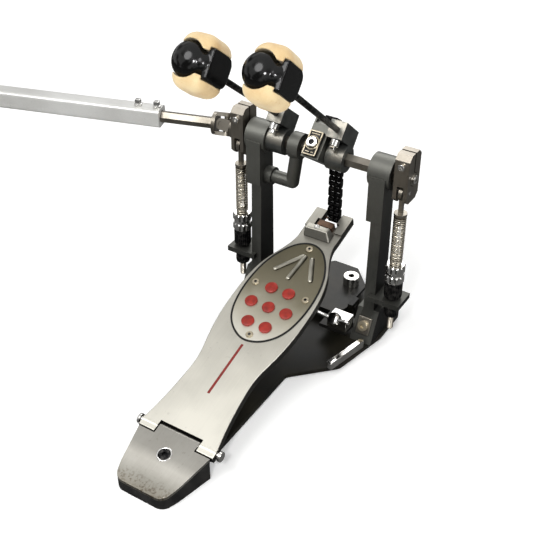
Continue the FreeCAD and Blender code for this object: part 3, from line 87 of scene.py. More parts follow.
class Wire:
    """One socket of a node tree. Sums and products of wires add Math nodes."""

    def __init__(self, tree, socket=None):
        self.tree, self.socket = tree, socket

    def node(self, kind, output=0, inputs=None, stops=None, **settings):
        """Adds a node, makes its settings, fills its sockets, and gives one of its outputs."""
        made = self.tree.nodes.new(kind)
        for name, setting in settings.items():
            setattr(made, name, setting)
        if stops:
            for element, (position, colour) in zip(made.color_ramp.elements, (stops[0], stops[-1])):
                element.position, element.color = position, ink(colour)
            for position, colour in stops[1:-1]:
                made.color_ramp.elements.new(position).color = ink(colour)
        for key, given in (inputs or {}).items():
            for one in given if isinstance(given, list) else [given]:
                if isinstance(one, Wire):
                    self.tree.links.new(one.socket, made.inputs[key])
                else:
                    made.inputs[key].default_value = one
        return Wire(self.tree, made.outputs[output])

    def maths(self, operation, first, second=0.0):
        return self.node("ShaderNodeMath", inputs={0: first, 1: second}, operation=operation)

    def __add__(self, other):
        return self.maths("ADD", self, other)

    def __sub__(self, other):
        return self.maths("SUBTRACT", self, other)

    def __rsub__(self, other):
        return self.maths("SUBTRACT", other, self)

    def __mul__(self, other):
        return self.maths("MULTIPLY", self, other)

    __radd__, __rmul__ = __add__, __mul__

    def spread(self, low, high, to_low=0.0, to_high=1.0):
        """The value's place between two bounds, carried to two others and held there."""
        return self.node("ShaderNodeMapRange", inputs={0: self, 1: low, 2: high, 3: to_low, 4: to_high})

    def between(self, low, high):
        """A colour between two, at the place that the value gives."""
        low, high = [ink(colour) if isinstance(colour, str) else colour for colour in (low, high)]
        return self.node("ShaderNodeMix", output=2, inputs={0: self, 6: low, 7: high}, data_type="RGBA")

    def noise(self, scale, detail=3.0):
        return self.node("ShaderNodeTexNoise", inputs={"Vector": self, "Scale": scale, "Detail": detail})

    def lines(self, stretch, turn=(0.0, 0.0, 0.0), detail=4.0):
        """Noise drawn out into fine lines along one way, turned by some degrees."""
        turn = tuple(math.radians(angle) for angle in turn)
        return self.node("ShaderNodeMapping", inputs={"Vector": self, "Rotation": turn,
                                                      "Scale": stretch}).noise(1.0, detail)

    def axis(self, index):
        return self.node("ShaderNodeSeparateXYZ", output=index, inputs={0: self})

    def along(self, way):
        """How far a vector goes one way."""
        return self.node("ShaderNodeVectorMath", output=1, inputs={0: self, 1: way}, operation="DOT_PRODUCT")

    def facing(self, way):
        """How far a surface faces one way of the piece's own."""
        return self.node("ShaderNodeTexCoord", output="Normal").along(way)

    def into(self, node, socket):
        self.tree.links.new(self.socket, node.inputs[socket])

    def paint(self, socket):
        """Leads the value into the material's shader."""
        self.into(self.tree.nodes["Principled BSDF"], socket)

    def dent(self, strength, distance):
        """Leads the value into the shader as a height."""
        self.node("ShaderNodeBump", inputs={"Strength": strength, "Distance": distance,
                                            "Height": self}).paint("Normal")


def placed(name, data):
    """A new object in the scene."""
    thing = bpy.data.objects.new(name, data)
    scene.collection.objects.link(thing)
    return thing


def new_finish(name, even):
    """A material with its even settings on its shader, and the piece's coordinates in its tree."""
    material = bpy.data.materials.new(name)
    material.use_nodes = True
    for socket, setting in even.items():
        material.node_tree.nodes["Principled BSDF"].inputs[socket].default_value = setting
    return material, Wire(material.node_tree).node("ShaderNodeTexCoord", output="Object")


scene = bpy.context.scene
scene.view_settings.view_transform = "Standard"
world = bpy.data.worlds.new("studio")
scene.world = world
world.use_nodes = True
backdrop = world.node_tree.nodes["Background"]
sky = Wire(world.node_tree)
camera_ray, glossy_ray, through_ray = [sky.node("ShaderNodeLightPath", output=name) for name in
                                       ("Is Camera Ray", "Is Glossy Ray", "Is Transmission Ray")]
looking = sky.node("ShaderNodeTexCoord", output="Generated")
soft_boxes = looking.noise(2.2, 1.0).spread(0.47, 0.55) + looking.axis(2).spread(0.55, 0.85)
room = soft_boxes.spread(0.0, 1.0, ROOM_DIM, ROOM_BRIGHT)
plain = (camera_ray + through_ray).spread(0.0, 1.0, WORLD_LIGHT, 1.0)
(glossy_ray * room + (1.0 - glossy_ray) * plain).into(backdrop, "Strength")
backdrop.inputs["Color"].default_value = (1.0, 1.0, 1.0, 1.0)

paper, place = new_finish("pale_paper", {"Roughness": 0.9, "Specular IOR Level": 0.0,
                                         "Emission Strength": 1.0})
glossy, seen = [place.node("ShaderNodeLightPath", output=name) for name in ("Is Glossy Ray", "Is Camera Ray")]
pale = place.noise(1.5).between("f7f7f6", "fafaf9")
(FLOOR_DIM * glossy).between(pale, "1c1c1c").paint("Base Color")
away = place.node("ShaderNodeVectorMath", output="Value", inputs={0: place}, operation="LENGTH")
(seen * away.spread(0.8, 3.0, FLOOR_LIFT, FAR_LIFT)).paint("Emission Color")
floor_mesh = bpy.data.meshes.new("floor")
floor_mesh.from_pydata([(x * FLOOR_HALF, y * FLOOR_HALF, -FLOOR_DROP) for x, y in
                        ((-1, -1), (1, -1), (1, 1), (-1, 1))], [], [(0, 1, 2, 3)])
floor_mesh.materials.append(paper)
placed("floor", floor_mesh)

for name, (at, size, power) in LAMPS.items():
    lamp = bpy.data.lights.new(name, "AREA")
    lamp.shape, lamp.size, lamp.energy = "DISK", size, power
    holder = placed(name, lamp)
    holder.location = at
    holder.rotation_euler = (LAMP_TARGET - Vector(at)).to_track_quat("-Z", "Y").to_euler()

camera = placed("camera", bpy.data.cameras.new("camera"))
camera.data.sensor_width = SENSOR_WIDTH
camera.data.lens = CAMERA_FOCUS_PIXELS / PHOTO_PIXELS * SENSOR_WIDTH
camera.matrix_world = (Matrix.Translation(CAMERA_AT) @ Matrix.Rotation(math.radians(CAMERA_ROUND), 4, "Z")
                       @ Matrix.Rotation(math.radians(90 - CAMERA_DOWN), 4, "X")
                       @ Matrix.Rotation(math.radians(CAMERA_ROLL), 4, "Z"))
scene.camera = camera

# Main base: one steel plate with two lugs for the jaw, powder coated black.
# It lies on glued rubber feet, and a chromed rail is screwed along its right edge.
MERGE = 0.00001
FLAT, SHARP = math.radians(1.0), math.radians(30.0)
BASE_EDGE, FEET_EDGE, RAIL_EDGE = 0.7, 0.5, 1.2


def settle(name, mesh, material, body, nodes=()):
    """Puts a finished mesh in the scene on a body, in place of the CAD nodes that it stands for."""
    mesh.materials.clear()
    mesh.materials.append(material)
    piece = placed(name, mesh)
    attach(piece, body)
    if nodes:
        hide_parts(*nodes)
    return piece


def finished(name, holder):
    """The plain mesh that is left after a holder's modifiers."""
    bpy.context.view_layer.update()
    mesh = bpy.data.meshes.new_from_object(holder.evaluated_get(bpy.context.evaluated_depsgraph_get()))
    bpy.data.objects.remove(holder)
    mesh.name = name
    return mesh


def shaped(name, mesh, *modifiers):
    """A mesh reworked by some modifiers."""
    holder = placed(name + "_draft", mesh)
    for kind, settings in modifiers:
        modifier = holder.modifiers.new(kind, kind)
        for key, setting in settings.items():
            setattr(modifier, key, setting)
    return finished(name, holder)


def node_sheet(node):
    """A CAD node's solid with its triangles joined into whole faces."""
    sheet = bmesh.new()
    sheet.from_mesh(frame["nodes"][node].data)
    bmesh.ops.remove_doubles(sheet, verts=sheet.verts, dist=MERGE)
    bmesh.ops.dissolve_limit(sheet, angle_limit=FLAT, verts=sheet.verts, edges=sheet.edges)
    return sheet


def eased_mesh(name, sheet, width, segments=2):
    """A solid whose edges are broken, with the light running evenly over its flat faces."""
    mesh = bpy.data.meshes.new(name)
    sheet.to_mesh(mesh)
    sheet.free()
    for leftover in ("custom_normal", "sharp_face", "sharp_edge"):
        if leftover in mesh.attributes:
            mesh.attributes.remove(mesh.attributes[leftover])
    mesh.shade_smooth()
    return shaped(name, mesh,
                  ("BEVEL", {"width": width * MM, "segments": segments, "limit_method": "ANGLE",
                             "angle_limit": SHARP, "use_clamp_overlap": True}),
                  ("WEIGHTED_NORMAL", {"weight": 60, "keep_sharp": True}))


def eased(node, width, material, segments=2, sheet=None):
    """The CAD node again with broken edges, on the same body, or a reworked sheet of it."""
    mesh = eased_mesh(node + "_eased", sheet or node_sheet(node), width, segments)
    settle(node + "_eased", mesh, material, frame["nodes"][node]["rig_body"], [node])


def mottled(name, even, scale, edges, colours, rough, grain=None, detail=5.0):
    """A finish that wavers between two colours and in roughness, with a fine grain where one is given."""
    material, place = new_finish(name, even)
    cloud = place.noise(scale, detail)
    cloud.spread(*edges).between(*colours).paint("Base Color")
    level = rough[0] + rough[1] * cloud
    if grain:
        fine, share, strength, depth = grain
        pore = place.noise(fine, 2.0)
        level = level + share * pore
        pore.dent(strength, depth)
    level.paint("Roughness")
    return material


powder = mottled("black_powder_coat", {"Specular IOR Level": 0.25}, 22.0, (0.40, 0.75), ("10100d", "26231a"),
                 (0.30, 0.25), (900.0, 0.10, 0.20, 0.00025))
rubber = mottled("black_rubber", {"Specular IOR Level": 0.3}, 60.0, (0.35, 0.80), ("111111", "2a2927"),
                 (0.62, 0.20), (1400.0, 0.0, 0.25, 0.0002))
chrome, place = new_finish("chrome_plate", {"Metallic": 1.0})
smudge = place.noise(70.0, 5.0)
smudge.spread(0.35, 0.75).between("e2e1de", "b9b6b0").paint("Base Color")
(0.08 + 0.18 * smudge.spread(0.45, 0.80)).paint("Roughness")
eased("base_plate", BASE_EDGE, powder)
eased("rubber_feet", FEET_EDGE, rubber)
eased("side_rail", RAIL_EDGE, chrome, 3)

# Posts: two cast aluminium columns, shot blasted and coated satin gunmetal, bolted down by their soles.
# Each carries a bearing housing at its top and, low down on the outside, a shelf for the spring.
POST_EDGE = 2.0

casting, place = new_finish("gunmetal_casting", {"Metallic": 0.75})
cloud, grain = place.noise(30.0, 4.0), place.noise(1300.0)
# Painted light: faces turned up, to the front and to the left, and the upper parts of the posts, are painted
# lighter.
lit = place.facing((-0.45, -0.50, 0.75)).spread(-0.3, 1.0)
high = place.axis(2).spread(0.07, 0.21)
shade = (0.25 * cloud + 0.15 * grain + 0.45 * lit + 0.30 * high).spread(0.28, 0.95)
shade.between("191a18", "767670").paint("Base Color")
(0.36 + 0.14 * grain + 0.06 * cloud).paint("Roughness")
grain.dent(0.30, 0.0002)
for post in ("right_post", "left_post"):
    eased(post, POST_EDGE, casting, 4)

# Centre arm: a bent bar from the left post that ends in the ring where both shafts run.
# It is cast with the same coat as the posts and pinned in a collar.
ARM_EDGE = 0.7

eased("centre_arm", ARM_EDGE, casting)

# Bearings: sealed ball races pressed into the housings, of ground steel.
# Only their outer rims show in the housings' mouths.
BEARING_EDGE = 0.4

steel, place = new_finish("ground_steel", {"Metallic": 1.0})
film, lines = place.noise(45.0, 5.0), place.lines((2500.0, 60.0, 60.0), detail=2.0)
film.spread(0.35, 0.75).between("a39d92", "6f695f").paint("Base Color")
(0.22 + 0.16 * film + 0.10 * lines).paint("Roughness")
lines.dent(0.10, 0.0001)
eased("bearings", BEARING_EDGE, steel)

# Frame bolts: a square washer plate and a socket screw on each post's sole.
# The screws are grown by one tree: a chamfered head with a hexagonal socket.
ACROSS = Vector((1.0, 0.0, 0.0))
SOLE_LEAN = 64.8
SOLE_MIDDLE = Vector((70.0, -21.0, 25.0)) * MM
WASHER, WASHER_EDGE = (15.0, 19.0, 2.0), 0.6
SOLE_SCREW = (5.5, 4.0, 2.6)
SCREW_STEPS, SCREW_CHAMFER, SOCKET_SHARE = 32, 0.5, 0.6
PLAIN_SIZES = ("turns", "ridges", "flatness")


def tilted(lean):
    """The upward and the forward way of something that leans back by some degrees."""
    lean = math.radians(lean)
    return Vector((0.0, -math.sin(lean), math.cos(lean))), Vector((0.0, math.cos(lean), math.sin(lean)))


def new_tree(name, *sizes):
    """A Geometry Nodes tree with a finish: the wires of its spots and of each size."""
    tree = bpy.data.node_groups.new(name, "GeometryNodeTree")
    tree.is_modifier = True
    tree.interface.new_socket("Spots", in_out="INPUT", socket_type="NodeSocketGeometry")
    for size in sizes:
        tree.interface.new_socket(size, in_out="INPUT", socket_type="NodeSocketFloat")
    tree.interface.new_socket("Finish", in_out="INPUT", socket_type="NodeSocketMaterial")
    tree.interface.new_socket("Pieces", in_out="OUTPUT", socket_type="NodeSocketGeometry")
    inlet = tree.nodes.new("NodeGroupInput")
    return [Wire(tree, inlet.outputs[name]) for name in ("Spots", *sizes)]


def fitted(part, way, x=0.0, y=0.0, z=0.0):
    """Geometry with one setting of its Transform node."""
    amount = part.node("ShaderNodeCombineXYZ", inputs={0: x, 1: y, 2: z})
    return part.node("GeometryNodeTransform", inputs={"Geometry": part, way: amount})


def moved(part, **shift):
    return fitted(part, "Translation", **shift)


def joined(*parts):
    return parts[0].node("GeometryNodeJoinGeometry", inputs={0: list(parts)})


def hull(*parts):
    """The skin that is stretched over some parts."""
    return parts[0].node("GeometryNodeConvexHull", inputs={0: joined(*parts)})


def upright(spots, sides, radius, depth):
    return spots.node("GeometryNodeMeshCylinder",
                      inputs={"Vertices": sides, "Radius": radius, "Depth": depth})


def close_tree(spots, part):
    """Sets a part on every spot, upright and sideways as the spot says, and closes the tree."""
    up, side = [part.node("GeometryNodeInputNamedAttribute", data_type="FLOAT_VECTOR", inputs={"Name": word})
                for word in ("up", "side")]
    turn = part.node("FunctionNodeAxesToRotation", inputs={0: up, 1: side}, primary_axis="Z",
                     secondary_axis="X")
    copies = part.node("GeometryNodeInstanceOnPoints",
                       inputs={"Points": spots, "Instance": part, "Rotation": turn})
    real = part.node("GeometryNodeRealizeInstances", inputs={0: copies})
    finish = Wire(part.tree, spots.socket.node.outputs["Finish"])
    painted = part.node("GeometryNodeSetMaterial", inputs={0: real, "Material": finish})
    painted.into(part.tree.nodes.new("NodeGroupOutput"), 0)
    return part.tree


def grown(name, tree, spots, material, **sizes):
    """The plain mesh that a tree grows on spots: each a point, its upward way and its sideways way."""
    points = bpy.data.meshes.new(name + "_spots")
    points.from_pydata([spot[0] for spot in spots], [], [])
    for index, word in ((1, "up"), (2, "side")):
        layer = points.attributes.new(word, "FLOAT_VECTOR", "POINT")
        layer.data.foreach_set("vector", [number for spot in spots for number in spot[index]])
    holder = placed(name + "_draft", points)
    modifier = holder.modifiers.new("grown", "NODES")
    modifier.node_group = tree
    given = {size: value * (1.0 if size in PLAIN_SIZES else MM) for size, value in sizes.items()}
    given["Finish"] = material
    for socket in tree.interface.items_tree:
        if socket.name in given:
            modifier[socket.identifier] = given[socket.name]
    mesh = finished(name, holder)
    for word in ("up", "side"):
        if word in mesh.attributes:
            mesh.attributes.remove(mesh.attributes[word])
    mesh.shade_smooth()
    mesh.set_sharp_from_angle(angle=SHARP)
    return mesh


def screw_mesh(name, spots, material, radius, height, socket):
    """Socket screws of one size on some spots."""
    return grown(name, SCREWS, spots, material, radius=radius, height=height, chamfer=SCREW_CHAMFER,
                 socket=socket, depth=SOCKET_SHARE * height)


def frame_at(at, up, side=ACROSS):
    """A place with its upward and sideways ways."""
    up = Vector(up).normalized()
    out = (Vector(side) - up * up.dot(Vector(side))).normalized()
    return Matrix.Translation(at) @ Matrix((out, up.cross(out), up)).transposed().to_4x4()


def block_sheet(sizes, turn, sheet=None):
    """A box of three sizes round the turn's origin."""
    sheet = sheet or bmesh.new()
    corners = bmesh.ops.create_cube(sheet, size=1.0)["verts"]
    bmesh.ops.scale(sheet, vec=Vector(sizes) * MM, verts=corners)
    bmesh.ops.transform(sheet, matrix=turn, verts=corners)
    return sheet


spots, radius, height, chamfer, socket, depth = new_tree("socket_screws", "radius", "height", "chamfer",
                                                         "socket", "depth")
low_disc = moved(upright(spots, SCREW_STEPS, radius, height - chamfer), z=0.5 * (height - chamfer))
high_disc = moved(upright(spots, SCREW_STEPS, radius - chamfer, height), z=0.5 * height)
socket_tool = moved(upright(spots, 6, socket, 2.0 * depth), z=height)
SCREWS = close_tree(spots, spots.node("GeometryNodeMeshBoolean", operation="DIFFERENCE", inputs={
    "Mesh 1": hull(low_disc, high_disc), "Mesh 2": socket_tool}))

nickel = mottled("worn_nickel", {"Metallic": 1.0}, 55.0, (0.32, 0.72), ("d3c8b2", "a1977f"), (0.26, 0.22),
                 (1500.0, 0.08, 0.12, 0.0001))
sole_face = tilted(SOLE_LEAN)[0]
washers, sole_spots = bmesh.new(), []
for side in (1, -1):
    foot = Vector((side * SOLE_MIDDLE.x, SOLE_MIDDLE.y, SOLE_MIDDLE.z))
    block_sheet(WASHER, frame_at(foot + sole_face * WASHER[2] / 2 * MM, sole_face), washers)
    sole_spots.append((foot + sole_face * WASHER[2] * MM, sole_face, ACROSS))
settle("sole_washers", eased_mesh("sole_washers", washers, WASHER_EDGE), steel, "frame",
       ["frame_bolts"])
settle("sole_screws", screw_mesh("sole_screws", sole_spots, nickel, *SOLE_SCREW), nickel, "frame")

# Heel: a brushed aluminium plate that slopes down from its tongue on the hinge pin, on a moulded black block.
# One black socket screw, sunk in the plate inside a bright washer, holds both to the base.
UP = Vector((0.0, 0.0, 1.0))
HINGE = Vector((0.0, -252.8, 23.2)) * MM
SMOOTH, ROUND_STEPS = math.radians(55.0), 40
HEEL_SLOPE, HEEL_REAR, HEEL_ROUND = 12.0, -300.0, 11.0
HEEL_UP, HEEL_FRONT = tilted(HEEL_SLOPE)
HEEL_LONG, DIRT_FROM, DIRT_FULL = 0.066, 0.046, 0.062
# HEEL_SHADES is a painted highlight and painted shade along the flat heel plate, in place of the light on a
# rolled bend.
HEEL_SHADES = [(0.0, "c4c4c4"), (0.36, "d2d2d2"), (0.52, "ffffff"), (0.62, "fbfbfb"), (0.78, "dcdcda"),
               (1.0, "c0bcb4")]
HEEL_BOLT_BACK, HEEL_BOLT_SEAT, HEEL_TOP = 23.5, 1.2, 4.2
HEEL_SCREW = (6.0, 2.6, 3.0)
HEEL_EDGE, BLOCK_EDGE, HINGE_PIN_EDGE = 0.9, 1.4, 0.6
WASHER_PROFILE = [(6.1, -0.3), (6.1, 0.1), (6.4, 0.3), (7.2, 0.3), (7.6, 0.0), (7.6, -0.3), (6.1, -0.3)]


def brushed(name, pale, dark, rough, stretch, turn=(0.0, 0.0, 0.0), metallic=1.0):
    """Metal with brush lines, faint clouds and a few scratches, and its coordinates and colour."""
    material, place = new_finish(name, {"Metallic": metallic})
    lines, cloud = place.lines(stretch, turn), place.noise(16.0, 5.0)
    fleck = place.noise(260.0).spread(0.66, 0.72)
    tone = (0.8 * cloud + 0.2 * lines).spread(0.30, 0.72)
    colour = (tone - 0.25 * fleck).between(dark, pale)
    colour.paint("Base Color")
    (rough[0] + (rough[1] - rough[0]) * cloud + 0.05 * lines).paint("Roughness")
    lines.dent(0.05, 0.0001)
    return material, place, colour


def heel_metal_with_painted_highlight(name, shift=Vector()):
    """Brushed metal with a painted highlight: a bright band and darker shade painted from the tongue back
    across the flat plate, where a rolled bend would catch the light, and dirt and scratches gathered at the
    rear edge.
    """
    material, place, clean = brushed(name, "dddad2", "b5b1a7", (0.26, 0.46), (1500.0, 30.0, 200.0),
                                     (HEEL_SLOPE, 0.0, 0.0))
    place = place.node("ShaderNodeVectorMath", inputs={0: place, 1: HINGE + shift}, operation="SUBTRACT")
    back = place.along(-HEEL_FRONT)
    # Painted highlight: a bright band and darker shade are painted across the flat plate, as the light on a
    # rolled bend.
    bend = place.node("ShaderNodeValToRGB", inputs={0: back.spread(0.0, HEEL_LONG)}, stops=HEEL_SHADES)
    shade = place.node("ShaderNodeMix", output=2, inputs={0: 1.0, 6: clean, 7: bend}, data_type="RGBA",
                       blend_type="MULTIPLY")
    dirt = place.noise(420.0, 5.0).spread(0.50, 0.62) * back.spread(DIRT_FROM, DIRT_FULL)
    worn_and_painted_light = (0.75 * dirt).between(shade, "5d5142")
    worn_and_painted_light.paint("Base Color")
    return material, place, worn_and_painted_light


def heel_sheet(node, rear):
    """A heel piece with its two rear corners rounded off."""
    sheet = node_sheet(node)
    corners = [edge for edge in sheet.edges if max(end.co.y for end in edge.verts) < rear * MM and
               abs((edge.verts[1].co - edge.verts[0].co).normalized().z) > 0.9]
    bmesh.ops.bevel(sheet, geom=corners, offset=HEEL_ROUND * MM, segments=10, profile=0.5, affect="EDGES",
                    clamp_overlap=True)
    return sheet


def mesh_of(name, sheet, smooth=SMOOTH):
    """A plain mesh of a bmesh, smooth but for its sharp edges."""
    mesh = bpy.data.meshes.new(name)
    sheet.to_mesh(mesh)
    sheet.free()
    mesh.shade_smooth()
    mesh.set_sharp_from_angle(angle=smooth)
    return mesh


def turned(profile, at, up, steps=ROUND_STEPS, sheet=None):
    """A piece turned on a lathe: a profile of radii and heights, carried round an axis."""
    sheet = sheet or bmesh.new()
    carry = frame_at(at, up, ACROSS if abs(Vector(up).normalized().x) < 0.9 else UP)
    turns = [2 * math.pi * step / steps for step in range(steps)]
    rings = []
    for radius, height in profile:
        ring = [Vector((radius * math.cos(turn), radius * math.sin(turn), height)) * MM for turn in turns]
        rings.append([sheet.verts.new(carry @ corner) for corner in (ring if radius > 0 else ring[:1])])
    for low, high in zip(rings, rings[1:]):
        for step in range(steps):
            corners = [low[step % len(low)], low[(step + 1) % len(low)], high[(step + 1) % len(high)],
                       high[step % len(high)]]
            sheet.faces.new(list(dict.fromkeys(corners)))
    return sheet


def faced_out(sheet):
    """The same solid, its faces turned outwards."""
    bmesh.ops.recalc_face_normals(sheet, faces=sheet.faces)
    return sheet


eased("heel_plate", HEEL_EDGE, heel_metal_with_painted_highlight("heel_aluminium_dirt_and_painted_highlight")[0], 3,
      heel_sheet("heel_plate", HEEL_REAR))
eased("heel_block", BLOCK_EDGE, rubber, 3, heel_sheet("heel_block", HEEL_REAR))
black_steel = mottled("blackened_steel", {"Metallic": 0.9}, 220.0, (0.45, 0.85), ("1d1d1e", "6a6865"),
                      (0.28, 0.22), detail=4.0)
seat, top = [HINGE + (HEEL_UP * rise - HEEL_FRONT * HEEL_BOLT_BACK) * MM
             for rise in (HEEL_BOLT_SEAT, HEEL_TOP)]
settle("heel_screw", screw_mesh("heel_screw", [(seat, HEEL_UP, ACROSS)], black_steel, *HEEL_SCREW),
       black_steel, "frame")
washer = faced_out(turned(WASHER_PROFILE, top, HEEL_UP))
settle("heel_washer", mesh_of("heel_washer", washer), chrome, "frame")
eased("hinge_pin", HINGE_PIN_EDGE, chrome, 3)

# Hoop clamp: a dark painted jaw that rocks on trunnions, with a chromed block and two bushes riveted on.
# The wing bolt goes through the block and tilts the jaw onto the drum's hoop.
WING_FOOT, WING_LEAN, WING_THICKNESS = Vector((46.0, -30.0, 22.0)) * MM, 40.0, 3.6
WING_OUTLINE = [(5.0, 21.0), (12.0, 21.6), (18.0, 25.0), (20.8, 30.5), (19.6, 34.4), (15.6, 34.8),
                (11.0, 31.0), (5.0, 28.0)]
BOLT_PROFILE = [(0.0, -14.4), (3.3, -14.4), (4.0, -13.7), (4.0, 18.6), (6.6, 18.6), (7.5, 19.6), (7.3, 24.0),
                (6.2, 27.0), (4.4, 27.5), (0.0, 27.5)]
JAW_EDGE, CLAMP_EDGE, BUSH_EDGE, WING_EDGE = 0.8, 1.6, 0.9, 1.4


def prism(low, high, sheet):
    """A solid between two loops of corners."""
    low, high = [[sheet.verts.new(corner) for corner in loop] for loop in (low, high)]
    sheet.faces.new(list(reversed(low)))
    sheet.faces.new(high)
    for step, corner in enumerate(low):
        after = (step + 1) % len(low)
        sheet.faces.new([corner, low[after], high[after], high[step]])


def gathered(name, *meshes):
    """Several meshes as one."""
    sheet = bmesh.new()
    for mesh in meshes:
        sheet.from_mesh(mesh)
    return mesh_of(name, sheet, SHARP)


jaw_paint = mottled("grey_jaw_paint", {"Metallic": 0.6}, 40.0, (0.35, 0.75), ("1f1f1d", "383632"),
                    (0.32, 0.18), (1100.0, 0.08, 0.15, 0.0002))
eased("clamp_jaw", JAW_EDGE, jaw_paint)
eased("clamp_block", CLAMP_EDGE, chrome, 3)
eased("jaw_bushes", BUSH_EDGE, chrome, 3)
wing_axis = tilted(WING_LEAN)[0]
wing_place = frame_at(WING_FOOT, wing_axis)
stem = mesh_of("wing_stem", turned(BOLT_PROFILE, WING_FOOT, wing_axis))
blades = bmesh.new()
for side in (1, -1):
    prism(*[[wing_place @ (Vector((side * across, level * WING_THICKNESS / 2, up)) * MM)
             for across, up in WING_OUTLINE] for level in (-1, 1)], blades)
wings = gathered("wing_bolt", stem, eased_mesh("wing_blades", faced_out(blades), WING_EDGE, 3))
settle("wing_bolt", wings, chrome, "wing_bolt", ["clamp_bolt"])

# Footboard: one long cast board with a brushed top, painted lighter towards the heel as painted light, and
# flanks painted dark as painted shade.
# A red inlay is pressed into a groove on its middle line, and the heel end hinges on the pin.
BOARD_LEAN, BOARD_TOP, BOARD_EDGE = 16.0, 4.8, 0.7
BOARD_UP, BOARD_ALONG = tilted(BOARD_LEAN)
INLAY_START, INLAY_END, INLAY_WIDTH, INLAY_PROUD, INLAY_EDGE = 49.3, 111.2, 2.6, 0.25, 0.15


def on_board(across, along, rise, shift=Vector()):
    """A point of a footboard, from its hinge pin."""
    return HINGE + shift + (ACROSS * across + BOARD_ALONG * along + BOARD_UP * rise) * MM


board_metal, place = new_finish("footboard_aluminium", {"Metallic": 1.0})
lines, cloud = place.lines((1400.0, 26.0, 26.0), (-BOARD_LEAN, 0.0, 0.0)), place.noise(14.0, 5.0)
tone = (0.85 * cloud + 0.15 * lines).spread(0.30, 0.72) - 0.3 * place.noise(240.0).spread(0.67, 0.72)
# Painted light: the top is painted lighter low down at the heel and darker up at the toe.
top = (0.45 * tone + place.axis(2).spread(0.035, 0.105, 0.60, 0.10)).between("8f8c83", "dfdcd1")
# Painted shade: the flanks are painted dark.
painted_flank_shade = cloud.between("3c3b39", "5a5855")
place.facing(BOARD_UP).spread(0.35, 0.62).between(painted_flank_shade, top).paint("Base Color")
(0.32 + 0.16 * cloud + 0.05 * lines).paint("Roughness")
lines.dent(0.04, 0.0001)
eased("footboard", BOARD_EDGE, board_metal, 3)
red_inlay = mottled("red_inlay", {"Specular IOR Level": 0.4}, 300.0, (0.35, 0.75), ("8d2b26", "692320"),
                    (0.40, 0.25), detail=4.0)
strip = block_sheet((INLAY_WIDTH, INLAY_END - INLAY_START, 2 * INLAY_PROUD), frame_at(
    on_board(0.0, (INLAY_START + INLAY_END) / 2, BOARD_TOP), BOARD_UP))
settle("red_inlay", eased_mesh("red_inlay", strip, INLAY_EDGE), red_inlay, "right_pedal")

# Traction plate: a thin oval sheet of satin aluminium in the board's recess, on a dark gasket.
# Three low ribs are pressed into its upper half, and four countersunk screws hold it.
PLATE_TOP, PLATE_LOW_END, PLATE_HIGH_END, PLATE_EDGE = 5.1, 117.0, 252.0, 0.25
PLATE_SHADES = [(0.0, "dedbd0"), (0.22, "bdb8a8"), (0.48, "88826f"), (1.0, "635e4c")]
RIM_STEPS, RIM_NEAR = 180, 0.05
GASKET = [(-0.25, -0.6), (-0.25, 0.22), (0.1, 0.55), (1.4, 0.55), (1.7, 0.22), (1.7, -0.6)]
RIBS = [((-1.2, 233.8), (-19.5, 207.9)), ((1.2, 233.5), (-0.9, 202.3)), ((9.6, 233.4), (21.8, 208.3))]
RIB_RADIUS, RIB_FLAT = 2.8, 0.60
PLATE_SCREWS = [(0.0, 124.0, PLATE_TOP), (0.0, 245.0, PLATE_TOP), (29.5, 184.0, PLATE_TOP),
                (-29.5, 184.0, PLATE_TOP)]
TOE_SCREW = (0.0, 272.3, 1.8)
# The second set of sizes is for the dark discs of painted shade in the screws' sockets.
PLATE_SCREW, PLATE_SOCKET_SHADE = (3.8, 1.2, 1.6), (1.7, 0.4, 1.26)


def gasket(name, node, body, shift=Vector()):
    """A flat rubber bead in the gap round a plate, along the rim of the CAD node."""
    middle = on_board(0.0, (PLATE_LOW_END + PLATE_HIGH_END) / 2, PLATE_TOP, shift)
    farthest = {}
    for vertex in frame["nodes"][node].data.vertices:
        out = vertex.co - middle
        step = round(math.atan2(out.dot(BOARD_ALONG), out.x) / (2 * math.pi) * RIM_STEPS)
        if abs(out.dot(BOARD_UP)) < RIM_NEAR * MM and out.length > farthest.get(step, (0.0, None))[0]:
            farthest[step] = (out.length, vertex.co.copy())
    loop = [farthest[step][1] for step in sorted(farthest)]
    sheet, rings = bmesh.new(), []
    for index, point in enumerate(loop):
        out = (loop[(index + 1) % len(loop)] - loop[index - 1]).cross(BOARD_UP).normalized()
        if out.dot(point - middle) < 0:
            out.negate()
        rings.append([sheet.verts.new(point + (out * away + BOARD_UP * lift) * MM) for away, lift in GASKET])
    for ring, after in zip(rings, rings[1:] + rings[:1]):
        for step, corner in enumerate(ring):
            beside = (step + 1) % len(ring)
            sheet.faces.new([corner, after[step], after[beside], ring[beside]])
    settle(name, mesh_of(name, faced_out(sheet)), rubber, body)


def ribs(name, body, shift=Vector()):
    """Three ribs that fan out from a plate's upper end towards the heel."""
    meshes = []
    for ends in RIBS:
        high, low = [on_board(across, along, PLATE_TOP, shift) for across, along in ends]
        spot = ((high + low) / 2, BOARD_UP, (high - low).cross(BOARD_UP))
        meshes.append(grown(name, RIB_TREE, [spot], rib_metal, length=(high - low).length / MM,
                            radius=RIB_RADIUS, flatness=RIB_FLAT))
    settle(name, gathered(name, *meshes), rib_metal, body)


def socket_shade_discs(name, spots, sizes, body):
    """Dark discs of painted shade in the floors of hexagon sockets, one in each screw of a set."""
    radius, low, high = sizes
    sockets = bmesh.new()
    for at, up, _ in spots:
        turned([(0.0, low), (radius, low), (radius, high), (0.0, high)], at, up, 6, sockets)
    settle(name, mesh_of(name, sockets), black_steel, body)


